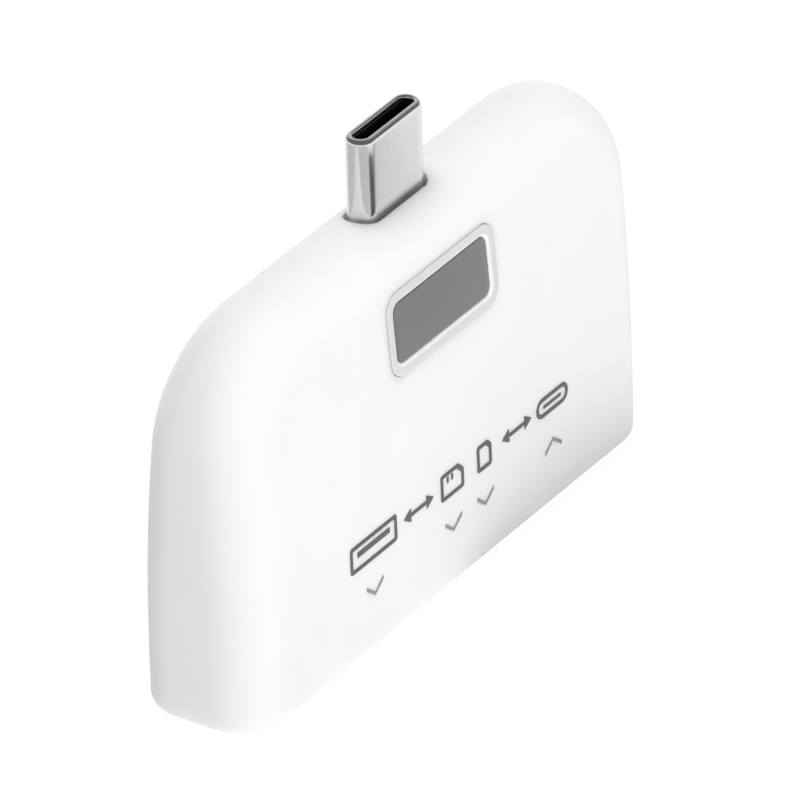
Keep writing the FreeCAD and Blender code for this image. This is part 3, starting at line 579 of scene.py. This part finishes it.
def seatWall():
    # edge of the window seat and its wall through the front
    rows = []
    for angle in np.linspace(0, np.pi / 2, body["seatBreakRows"]):
        grow = window["gap"] + window["seatBreak"] * (1 - math.sin(angle))
        depth = window["seatBreak"] * (1 - math.cos(angle))
        rows.append(onFace(windowLoop(grow, window["corner"] + grow), depth))
    inside = onFace(windowLoop(window["gap"], window["corner"] + window["gap"]), body["wall"])
    return np.concatenate([np.stack(rows), inside[None]])


def footLoop(halfWidth, half, radius, z):
    # rounded rectangle with the same points as the foot of the skin
    angle = roundShare * np.pi / 2
    x = radius - halfWidth - radius * np.sin(angle)
    y = radius - half - radius * np.cos(angle)
    front = np.stack([x, y], -1)
    back = front[::-1] * [1, -1]
    left = np.concatenate([front, front[-1] + flatShare[:, None] * (back[0] - front[-1]), back])
    behind = np.stack([footShare * (halfWidth - radius), np.full_like(footShare, half)], -1)
    loop = joinSides([left, behind, left[::-1] * [-1, 1], behind[::-1] * [1, -1]])
    return np.concatenate([loop, np.full((len(loop), 1), z)], 1)


def footRows():
    # foot edge rolls under, the rim runs in to the mouth, and the mouth goes up to the inside
    rows = []
    for angle in np.linspace(0, np.pi / 2, body["footRoundRows"]):
        inset = body["footRound"] * (1 - math.cos(angle))
        height = body["footRound"] * (1 - math.sin(angle))
        sizes = (body["halfWidth"] - inset, body["halfFoot"] - inset, body["edge"] - inset)
        rows.append(footLoop(*sizes, height))
    for angle in np.linspace(0, np.pi / 2, body["mouthBreakRows"]):
        grow = body["mouthBreak"] * (1 - math.sin(angle))
        height = body["mouthBreak"] * (1 - math.cos(angle))
        sizes = (body["mouthHalfWidth"] + grow, body["mouthHalf"] + grow, body["mouthRound"] + grow)
        rows.append(footLoop(*sizes, height))
    rows.append(footLoop(body["mouthHalfWidth"], body["mouthHalf"], body["mouthRound"], body["mouthDepth"]))
    wall = body["wall"]
    inside = (body["halfWidth"] - wall, body["halfFoot"] - wall, body["edge"] - wall)
    rows.append(footLoop(*inside, body["mouthDepth"]))
    return np.stack(rows)


def bodySkin(depth, zLow, slotGrow, windowGrow):
    # the patches of the outer or the inner skin, from a lowest height up
    band = sideBand(depth, zLow)
    return [
        (band, False),
        (band * [-1, 1, 1], False),
        (topPatch(depth, slotGrow), True),
        (frontPatch(depth, zLow, windowGrow), True),
        (backPatch(depth, zLow), False),
    ]


housingPatches = (
    bodySkin(0.0, body["footRound"], body["slotBreak"], window["gap"] + window["seatBreak"])
    + [(slotWall(), True), (seatWall(), True), (footRows(), True)]
    + bodySkin(body["wall"], body["mouthDepth"], 0.0, window["gap"])
)
addPiece("caseBody", housingPatches, whiteCase, ["housing"])


# Window: a clear frame with a bevelled lip, and the smoked pane in it

def closeToMiddle(loop, count):
    # loops that shrink to the middle of an outline and close it
    middle = loop.mean(0)
    share = np.linspace(1, 0, count)[:, None, None]
    return middle + share * (loop - middle)


frameLip = {
    "counts": [61, 101, 61, 101],
    "back": -0.7,
    "proud": 0.11,
    "round": 0.09,
    "roundRows": 6,
    "flat": 0.6,
    "bend": [(-0.05, 0.0), (-0.02, -0.003), (0.02, -0.012), (0.05, -0.024)],  # from the flat into the bevel
    "bevelEnd": 0.87,
    "bevelDepth": -0.05,
    "pocketMouth": [(-0.01, -0.02), (0.0, -0.06)],  # from the bevel into the pocket
    "pocket": -0.42,
    "closeRows": 6,
    "cornerShare": 0.75,  # how much of an inset a corner's radius loses
    "leastCorner": 0.2,
}


def frameSection():
    # inset from the outline and height over the face, in three parts:
    # the side, rolled edge and flat, then the bevel, then the wall of the pocket
    edge = quarterRound(frameLip["round"], frameLip["proud"], frameLip["roundRows"])
    bend = [(frameLip["flat"] + inset, frameLip["proud"] + drop) for inset, drop in frameLip["bend"]]
    pocketSide = window["frameSide"] - window["gap"]
    mouth = [(pocketSide + inset, frameLip["bevelDepth"] + drop) for inset, drop in frameLip["pocketMouth"]]
    lip = np.concatenate([[(0.0, frameLip["back"])], edge, bend])
    bevel = np.array([bend[-1], (frameLip["bevelEnd"], frameLip["bevelDepth"]), *mouth])
    pocket = np.array([mouth[-1], (pocketSide, frameLip["pocket"])])
    return lip, bevel, pocket


def windowRows(section, inset, corner):
    # a section carried round the window's outline on the crowned face
    rows = []
    for shift, height in section:
        radius = max(corner - frameLip["cornerShare"] * shift, frameLip["leastCorner"])
        rows.append(onFace(windowLoop(-inset - shift, radius, frameLip["counts"]), -height))
    return np.stack(rows)


def flatClose(loop, height, count):
    # shrinks an outline on the face to its middle
    return onFace(closeToMiddle(loop, count), -height)


frameRows, bevelRows, pocketRows = [windowRows(part, 0.0, window["corner"]) for part in frameSection()]
outerLoop = windowLoop(0.0, window["corner"], frameLip["counts"])
frameFloor = flatClose(pocketRows[-1][:, [0, 2]], frameLip["pocket"], frameLip["closeRows"])
frameBack = flatClose(outerLoop, frameLip["back"], frameLip["closeRows"])
framePatches = [
    (frameRows, True),
    # the bevel rows carry the painted highlight along the inner lip
    (bevelRows, True, paintedHighlightBevel),
    (pocketRows, True),
    (frameFloor, True),
    (frameBack, True),
]
addPiece("windowFrame", framePatches, frostedFrame, ["window_frame"])

pane = {"back": -0.4, "proud": 0.0, "round": 0.05, "roundRows": 5, "topRows": 14, "backRows": 6}
paneEdge = quarterRound(pane["round"], pane["proud"], pane["roundRows"])
paneSection = np.concatenate([[(0.0, pane["back"])], paneEdge])
paneRows = windowRows(paneSection, window["frameSide"], window["lensCorner"])
paneTop = flatClose(paneRows[-1][:, [0, 2]], pane["proud"], pane["topRows"])
paneBack = flatClose(paneRows[0][:, [0, 2]], pane["back"], pane["backRows"])
panePatches = [(paneRows, True), (paneTop, True), (paneBack, True)]
addPiece("windowPane", panePatches, smokedWindow, ["window_lens"])


# Plug: a drawn tube with a rolled lip and two legs

plug = {
    "halfWidth": 4.125,
    "half": 1.2,
    "base": 26.5,
    "tip": 38.25,
    "lipRound": 0.42,
    "lipInset": 0.6,
    "lipDepth": 0.35,
    "lipRows": 11,
    "wall": 0.3,
    "wallRows": 12,
    "legInner": 3.825,
    "legHalf": 0.7,
    "legDrop": 2.0,
    "legInset": 0.01,
    "legGap": 0.002,
    "counts": [41, 41, 41, 41],
}


def plugSection():
    # inset from the outside and height: outer wall, the lip rolled over and in, step and bore
    outward = quarterRound(plug["lipRound"], plug["tip"], plug["lipRows"])
    angle = np.linspace(0, np.pi / 2, plug["lipRows"])
    lipIn = plug["lipRound"] + (plug["lipInset"] - plug["lipRound"]) * np.sin(angle)
    lipDown = plug["tip"] - plug["lipDepth"] * (1 - np.cos(angle))
    inward = np.stack([lipIn, lipDown], -1)
    rise = np.linspace(plug["base"], plug["tip"] - plug["lipRound"], plug["wallRows"])[:-1]
    outside = np.stack([np.zeros_like(rise), rise], -1)
    inside = [
        (plug["wall"], plug["tip"] - plug["lipDepth"]),
        (plug["wall"], plug["base"]),
        (0.0, plug["base"]),
    ]
    return np.concatenate([outside, outward, inward[1:], inside])


def plugRows():
    # the section carried round a slot-shaped outline
    rows = []
    for inset, height in plugSection():
        half, wide = plug["half"] - inset, plug["halfWidth"] - inset
        corners = [(-wide, -half), (wide, -half), (wide, half), (-wide, half)]
        loop = roundedSides(corners, half * fullRound, plug["counts"])
        rows.append(np.concatenate([loop, np.full((len(loop), 1), height)], 1))
    return np.stack(rows)


def boxPatch(low, high):
    # a block as a square section carried up, closed at both ends
    square = np.array([(low[0], low[1]), (high[0], low[1]), (high[0], high[1]), (low[0], high[1])])
    middle = np.broadcast_to(square.mean(0), square.shape)
    loops = [(middle, low[2]), (square, low[2]), (square, high[2]), (middle, high[2])]
    return np.stack([np.concatenate([loop, np.full((len(loop), 1), z)], 1) for loop, z in loops])


legLow = (plug["legInner"], -plug["legHalf"], plug["base"] - plug["legDrop"])
legHigh = (plug["halfWidth"] - plug["legInset"], plug["legHalf"], plug["base"] - plug["legGap"])
leg = boxPatch(legLow, legHigh)
plugPatches = [(plugRows(), True), (leg, True), (leg * [-1, 1, 1], True)]
addPiece("plugTube", plugPatches, plugNickel, ["plug_shell"])


# Port marks: plain signs in thin ink for the sockets below and the plug above

ink = {
    "proud": 0.012,
    "root": 0.01,
    "row": 9.0,
    "stroke": 0.36,
    "sidePoints": 15,
    "closeRows": 3,
    "innerCorner": 0.08,  # least corner inside a frame
    "innerClip": 0.8,  # share of a frame's cut corner that its inside has
    "barCorner": 0.06,
    "headCorner": 0.05,
}
# a frame by its middle, half sizes, corner and cut corner
# bars by their shift from its middle and their half sizes, and an open arrow that points up or down
signs = {
    "socket": {
        "middle": -10.9,
        "half": (3.1, 1.15),
        "corner": 0.3,
        "clip": 0.0,
        "bars": [(0.0, 0.22, 2.15, 0.25)],
        "arrow": -1,
    },
    "card": {
        "middle": -0.4,
        "half": (1.55, 1.15),
        "corner": 0.3,
        "clip": 0.7,
        "bars": [(-0.6, 0.45, 0.14, 0.26), (0.0, 0.45, 0.14, 0.26)],
        "arrow": -1,
    },
    "smallCard": {
        "middle": 3.9,
        "half": (0.98, 1.15),
        "corner": 0.3,
        "clip": 0.5,
        "bars": [],
        "arrow": -1,
    },
    "plug": {
        "middle": 13.1,
        "half": (2.15, 0.85),
        "corner": 0.84,
        "clip": 0.0,
        "bars": [(0.0, 0.0, 1.2, 0.15)],
        "arrow": 1,
    },
}
doubleArrows = {"middles": [-4.9, 8.3], "shaft": 1.0, "headStart": 1.02, "headReach": 1.0, "headHalf": 0.62}
openArrows = {"row": 5.3, "height": 1.2, "width": 2.2, "stroke": 0.3}


def signLoop(x, z, wide, high, corner, clip=0.0):
    # rounded rectangle round a middle; clip cuts its upper right corner
    corners = [(x - wide, z - high), (x - wide, z + high), (x + wide, z + high), (x + wide, z - high)]
    if clip:
        corners[2:3] = [(x + wide - clip, z + high), (x + wide, z + high - clip)]
    return roundedSides(corners, corner, [ink["sidePoints"]] * len(corners))


def inkSolid(loop):
    # filled sign: both faces shrink to the middle
    rings = closeToMiddle(loop, ink["closeRows"])
    return np.concatenate([onFace(rings[::-1], ink["root"]), onFace(rings, -ink["proud"])])


def inkRing(outer, inner):
    # open sign: round the section from the inner edge and back to it
    section = [(inner, ink["root"]), (outer, ink["root"]), (outer, -ink["proud"]), (inner, -ink["proud"])]
    return np.stack([onFace(loop, depth) for loop, depth in section + section[:1]])


def framedSign(sign):
    # a frame of even stroke
    wide, high = sign["half"]
    outer = signLoop(sign["middle"], ink["row"], wide, high, sign["corner"], sign["clip"])
    wide, high = wide - ink["stroke"], high - ink["stroke"]
    corner = max(sign["corner"] - ink["stroke"], ink["innerCorner"])
    inner = signLoop(sign["middle"], ink["row"], wide, high, corner, sign["clip"] * ink["innerClip"])
    return inkRing(outer, inner)


def inkBar(x, z, wide, high):
    # filled bar by its middle and half sizes
    return inkSolid(signLoop(x, z, wide, high, ink["barCorner"]))


def arrowHead(x, side):
    # solid arrow head with its base at x; side is -1 for left and 1 for right
    low, high = ink["row"] - doubleArrows["headHalf"], ink["row"] + doubleArrows["headHalf"]
    corners = [(x, low), (x, high), (x + side * doubleArrows["headReach"], ink["row"])]
    return inkSolid(roundedSides(corners, ink["headCorner"], [ink["sidePoints"]] * len(corners)))


def openArrow(x, way):
    # an open arrow of even stroke; way is 1 for up and -1 for down
    half, high = openArrows["width"] / 2, openArrows["height"] / 2
    thick = openArrows["stroke"] * math.hypot(half, high) / half
    rise = np.array([-high, high - thick, -high]) * way
    lower = np.stack([x + np.array([-half, 0, half]), openArrows["row"] + rise], -1)
    upper = lower + [0, thick * way]
    section = [(lower, ink["root"]), (upper, ink["root"]), (upper, -ink["proud"]), (lower, -ink["proud"])]
    sides = np.stack([onFace(line, depth) for line, depth in section + section[:1]])
    ends = [np.stack([sides[[0, 3], end], sides[[1, 2], end]]) for end in (0, -1)]
    return [(sides, False)] + [(end, False) for end in ends]


markPatches, arrowPatches = [], []
for sign in signs.values():
    markPatches.append(framedSign(sign))
    for shift, rise, wide, high in sign["bars"]:
        markPatches.append(inkBar(sign["middle"] + shift, ink["row"] + rise, wide, high))
    arrowPatches += openArrow(sign["middle"], sign["arrow"])
for middle in doubleArrows["middles"]:
    markPatches.append(inkBar(middle, ink["row"], doubleArrows["shaft"], ink["stroke"] / 2))
    markPatches += [arrowHead(middle + side * doubleArrows["headStart"], side) for side in (-1, 1)]
addPiece("portMarks", [(patch, True) for patch in markPatches], darkInk)
addPiece("portArrows", arrowPatches, greyInk)


# Camera, light and floor

# angles in degrees, lengths in millimetres apart from clip
view = {
    "azimuth": -55.69,
    "elevation": 31.09,
    "roll": -1.58,
    "distance": 1200.0,
    "middle": (0.0, 0.0, 15.8),
    "shift": (390.3, 379.96),  # where the middle lies in the picture, in pixels
    "focalPixels": 16260.0,
    "framePixels": 800.0,
    "sensorWidth": 36.0,
    "clip": (0.05, 10.0),  # metres
}
azimuth, elevation = math.radians(view["azimuth"]), math.radians(view["elevation"])
backward = Vector(
    (math.sin(azimuth) * math.cos(elevation), -math.cos(azimuth) * math.cos(elevation), math.sin(elevation))
)
sideways = Vector((math.cos(azimuth), math.sin(azimuth), 0))
upward = backward.cross(sideways)
level = Matrix((sideways, upward, backward)).transposed()
turned = level @ Matrix.Rotation(math.radians(view["roll"]), 3, "Z")
camera = bpy.data.objects.new("photoCamera", bpy.data.cameras.new("photoCamera"))
bpy.context.scene.collection.objects.link(camera)
pixelSize = view["distance"] / view["focalPixels"]
aim = (
    Vector(view["middle"])
    + turned.col[0] * (view["framePixels"] / 2 - view["shift"][0]) * pixelSize
    + turned.col[1] * (view["shift"][1] - view["framePixels"] / 2) * pixelSize
)
camera.matrix_world = Matrix.Translation((aim + backward * view["distance"]) * mm) @ turned.to_4x4()
camera.data.sensor_width = view["sensorWidth"]
camera.data.lens = view["sensorWidth"] * view["focalPixels"] / view["framePixels"]
camera.data.clip_start, camera.data.clip_end = view["clip"]
bpy.context.scene.camera = camera

# places and sizes in metres, power in watts
lampAim = (0, 0, 0.015)
lamps = {
    "frontBox": {"place": (0.1, -0.8, 0.4), "size": 0.5, "power": 2.2},
    "frontLeftBox": {"place": (-0.55, -0.65, 0.35), "size": 0.5, "power": 3.1},
    "topBox": {"place": (0.0, 0.1, 0.9), "size": 0.6, "power": 5.7},
    "backBox": {"place": (0.55, 0.75, 0.35), "size": 0.5, "power": 2.4},
}


def addLamp(name, place, size, power):
    # a square soft box that looks at the object; neither the camera nor a reflection shows it
    lamp = bpy.data.lights.new(name, "AREA")
    lamp.size = size
    lamp.energy = power
    holder = bpy.data.objects.new(name, lamp)
    holder.location = place
    holder.rotation_euler = (Vector(lampAim) - Vector(place)).to_track_quat("-Z", "Y").to_euler()
    holder.visible_camera = False
    holder.visible_glossy = False
    bpy.context.scene.collection.objects.link(holder)


for lampName, settings in lamps.items():
    addLamp(lampName, **settings)

studio = {"ambient": 0.08, "seen": 1.0}  # strength of the world's white


def seenRays(tree):
    # 1 for what the eye meets directly, in a reflection or through something clear
    rays = addNode(tree, "ShaderNodeLightPath")
    seen = addNode(tree, "ShaderNodeMath", operation="MAXIMUM")
    tree.links.new(rays.outputs["Is Camera Ray"], seen.inputs[0])
    tree.links.new(rays.outputs["Is Glossy Ray"], seen.inputs[1])
    either = addNode(tree, "ShaderNodeMath", operation="MAXIMUM")
    tree.links.new(seen.outputs[0], either.inputs[0])
    tree.links.new(rays.outputs["Is Transmission Ray"], either.inputs[1])
    return either.outputs[0]


def strengthMix(tree, low, high):
    # low for light that falls on the object, high for what is seen
    node = addNode(tree, "ShaderNodeMapRange")
    tree.links.new(seenRays(tree), node.inputs["Value"])
    node.inputs["To Min"].default_value = low
    node.inputs["To Max"].default_value = high
    return node.outputs["Result"]


def makeWorld():
    # white to the eye and in reflections, a softer white for the light that falls on the object
    world = bpy.data.worlds.new("studio")
    world.use_nodes = True
    tree = world.node_tree
    background = tree.nodes["Background"]
    background.inputs["Color"].default_value = (1, 1, 1, 1)
    strength = strengthMix(tree, studio["ambient"], studio["seen"])
    tree.links.new(strength, background.inputs["Strength"])
    bpy.context.scene.world = world


makeWorld()


def addStage(name, points, faces, rays, shader):
    # a part of the studio that only the named kinds of ray meet
    mesh = bpy.data.meshes.new(name)
    mesh.from_pydata(points, [], faces)
    prop = bpy.data.objects.new(name, mesh)
    bpy.context.scene.collection.objects.link(prop)
    for kind in ("camera", "diffuse", "glossy", "transmission", "shadow"):
        setattr(prop, "visible_" + kind, kind in rays)
    paint = bpy.data.materials.new(name + "Paint")
    paint.use_nodes = True
    tree = paint.node_tree
    tree.nodes.clear()
    output = addNode(tree, "ShaderNodeOutputMaterial")
    tree.links.new(shader(tree), output.inputs["Surface"])
    mesh.materials.append(paint)


# size and drop in metres; a patch has its centre and sizes in millimetres and its turn in degrees
floor = {
    "size": 3.0,
    "drop": -0.00005,
    "shade": 0.25,
    "glow": 0.8,
    "bounce": 0.85,
    "footPatch": {"centre": (14.0, -7.0), "turn": 0.0, "sizes": (17.0, 10.0), "inner": 0.55, "depth": 1.0},
    "mirrorPatches": [
        {"centre": (13.0, -56.5), "turn": 24.0, "sizes": (29.0, 11.0), "inner": 0.75, "depth": 1.0},
        {"centre": (39.5, -46.5), "turn": -34.0, "sizes": (30.0, 21.0), "inner": 0.3, "depth": 0.6},
        {"centre": (-75.0, 0.0), "turn": 0.0, "sizes": (78.0, 150.0), "inner": 0.85, "depth": 0.4},
    ],
}


def softPatch(tree, patch):
    # 1 less its depth in the middle of an ellipse on the floor, 1 outside it, with a soft edge between
    place = addNode(tree, "ShaderNodeTexCoord")
    fit = addNode(tree, "ShaderNodeMapping", vector_type="TEXTURE")
    fit.inputs["Location"].default_value = (*[c * mm for c in patch["centre"]], floor["drop"])
    fit.inputs["Rotation"].default_value[2] = math.radians(patch["turn"])
    fit.inputs["Scale"].default_value = (*[s * mm for s in patch["sizes"]], 1)
    reach = addNode(tree, "ShaderNodeVectorMath", operation="LENGTH")
    edge = addNode(tree, "ShaderNodeMapRange", interpolation_type="SMOOTHSTEP")
    edge.inputs["From Min"].default_value = patch["inner"]
    edge.inputs["To Min"].default_value = 1 - patch["depth"]
    tree.links.new(place.outputs["Object"], fit.inputs["Vector"])
    tree.links.new(fit.outputs["Vector"], reach.inputs[0])
    tree.links.new(reach.outputs["Value"], edge.inputs["Value"])
    return edge.outputs["Result"]


def product(tree, first, second):
    # two factors, each a number or a socket
    node = addNode(tree, "ShaderNodeMath", operation="MULTIPLY")
    for socket, factor in zip(node.inputs, (first, second)):
        if isinstance(factor, float):
            socket.default_value = factor
        else:
            tree.links.new(factor, socket)
    return node.outputs[0]


def floorShader(tree):
    # pale paper that keeps a soft shadow, looks white and is open from below
    # one patch before the body takes light from the right part of the front's foot
    # the others are darker cards that only reflections meet
    rays = addNode(tree, "ShaderNodeLightPath")
    cards = 1.0
    for patch in floor["mirrorPatches"]:
        cards = product(tree, softPatch(tree, patch), cards)
    mirrored = addNode(tree, "ShaderNodeMapRange")
    tree.links.new(rays.outputs["Is Glossy Ray"], mirrored.inputs["Value"])
    mirrored.inputs["To Min"].default_value = 1.0
    tree.links.new(cards, mirrored.inputs["To Max"])
    paper = addNode(tree, "ShaderNodeBsdfDiffuse")
    tree.links.new(product(tree, mirrored.outputs["Result"], floor["shade"]), paper.inputs["Color"])
    place = addNode(tree, "ShaderNodeTexCoord")
    parts = addNode(tree, "ShaderNodeSeparateXYZ")
    tree.links.new(place.outputs["Object"], parts.inputs[0])
    under = addNode(tree, "ShaderNodeMath", operation="GREATER_THAN")
    tree.links.new(parts.outputs["Y"], under.inputs[0])
    under.inputs[1].default_value = -body["halfFoot"] * mm
    lit = addNode(tree, "ShaderNodeMath", operation="MAXIMUM")
    tree.links.new(under.outputs[0], lit.inputs[0])
    tree.links.new(softPatch(tree, floor["footPatch"]), lit.inputs[1])
    falling = product(tree, lit.outputs[0], floor["bounce"])
    seen = product(tree, mirrored.outputs["Result"], floor["glow"])
    glow = addNode(tree, "ShaderNodeEmission")
    tree.links.new(spread(tree, seenRays(tree), falling, seen), glow.inputs["Strength"])
    both = addNode(tree, "ShaderNodeAddShader")
    tree.links.new(paper.outputs[0], both.inputs[0])
    tree.links.new(glow.outputs[0], both.inputs[1])
    side = addNode(tree, "ShaderNodeNewGeometry")
    clear = addNode(tree, "ShaderNodeBsdfTransparent")
    mix = addNode(tree, "ShaderNodeMixShader")
    tree.links.new(side.outputs["Backfacing"], mix.inputs[0])
    tree.links.new(both.outputs[0], mix.inputs[1])
    tree.links.new(clear.outputs[0], mix.inputs[2])
    return mix.outputs[0]


floorCorners = [(-1, -1), (1, -1), (1, 1), (-1, 1)]
floorPoints = [(x * floor["size"], y * floor["size"], floor["drop"]) for x, y in floorCorners]
addStage("floor", floorPoints, [(0, 1, 2, 3)], ("camera", "diffuse", "glossy", "transmission"), floorShader)

# radius in metres, horizon and dark as shares of it; the spot's way is a direction and its reach an angle
dome = {"radius": 0.75, "rows": 25, "columns": 48, "horizon": 0.1, "dark": 0.3, "skyTone": 0.15}
skySpot = {"way": (0.7, 0.5, 0.51), "reach": 50.0, "tone": 0.42}


def domeShader(tree):
    # white near the horizon and dark grey above it, with one lighter spot behind on the right
    place = addNode(tree, "ShaderNodeTexCoord")
    parts = addNode(tree, "ShaderNodeSeparateXYZ")
    tree.links.new(place.outputs["Object"], parts.inputs[0])
    fall = addNode(tree, "ShaderNodeMapRange", interpolation_type="SMOOTHSTEP")
    tree.links.new(parts.outputs["Z"], fall.inputs["Value"])
    fall.inputs["From Min"].default_value = dome["radius"] * dome["horizon"]
    fall.inputs["From Max"].default_value = dome["radius"] * dome["dark"]
    fall.inputs["To Min"].default_value = 1.0
    fall.inputs["To Max"].default_value = dome["skyTone"]
    near = addNode(tree, "ShaderNodeVectorMath", operation="DOT_PRODUCT")
    tree.links.new(place.outputs["Object"], near.inputs[0])
    near.inputs[1].default_value = [part / dome["radius"] for part in skySpot["way"]]
    spot = addNode(tree, "ShaderNodeMapRange", interpolation_type="SMOOTHSTEP")
    tree.links.new(near.outputs["Value"], spot.inputs["Value"])
    spot.inputs["From Min"].default_value = math.cos(math.radians(skySpot["reach"]))
    spot.inputs["To Max"].default_value = skySpot["tone"]
    total = addNode(tree, "ShaderNodeMath", operation="ADD")
    tree.links.new(fall.outputs["Result"], total.inputs[0])
    tree.links.new(spot.outputs["Result"], total.inputs[1])
    sky = addNode(tree, "ShaderNodeEmission")
    tree.links.new(total.outputs[0], sky.inputs["Strength"])
    return sky.outputs[0]


# half a sphere over the object, in rows from the floor to the top
domeRise = np.linspace(0, np.pi / 2, dome["rows"])[:, None]
domeTurn = np.linspace(0, 2 * np.pi, dome["columns"], endpoint=False)[None]
domeX, domeY = np.cos(domeRise) * np.cos(domeTurn), np.cos(domeRise) * np.sin(domeTurn)
domeGrid = np.stack(np.broadcast_arrays(domeX, domeY, np.sin(domeRise)), -1)
domePoints = (domeGrid.reshape(-1, 3) * dome["radius"]).tolist()
domeFaces = gridFaces(dome["rows"], dome["columns"], True).tolist()
addStage("dome", domePoints, domeFaces, ("glossy",), domeShader)
bpy.context.scene.view_settings.view_transform = "Standard"
print("camera, lights and floor ready")
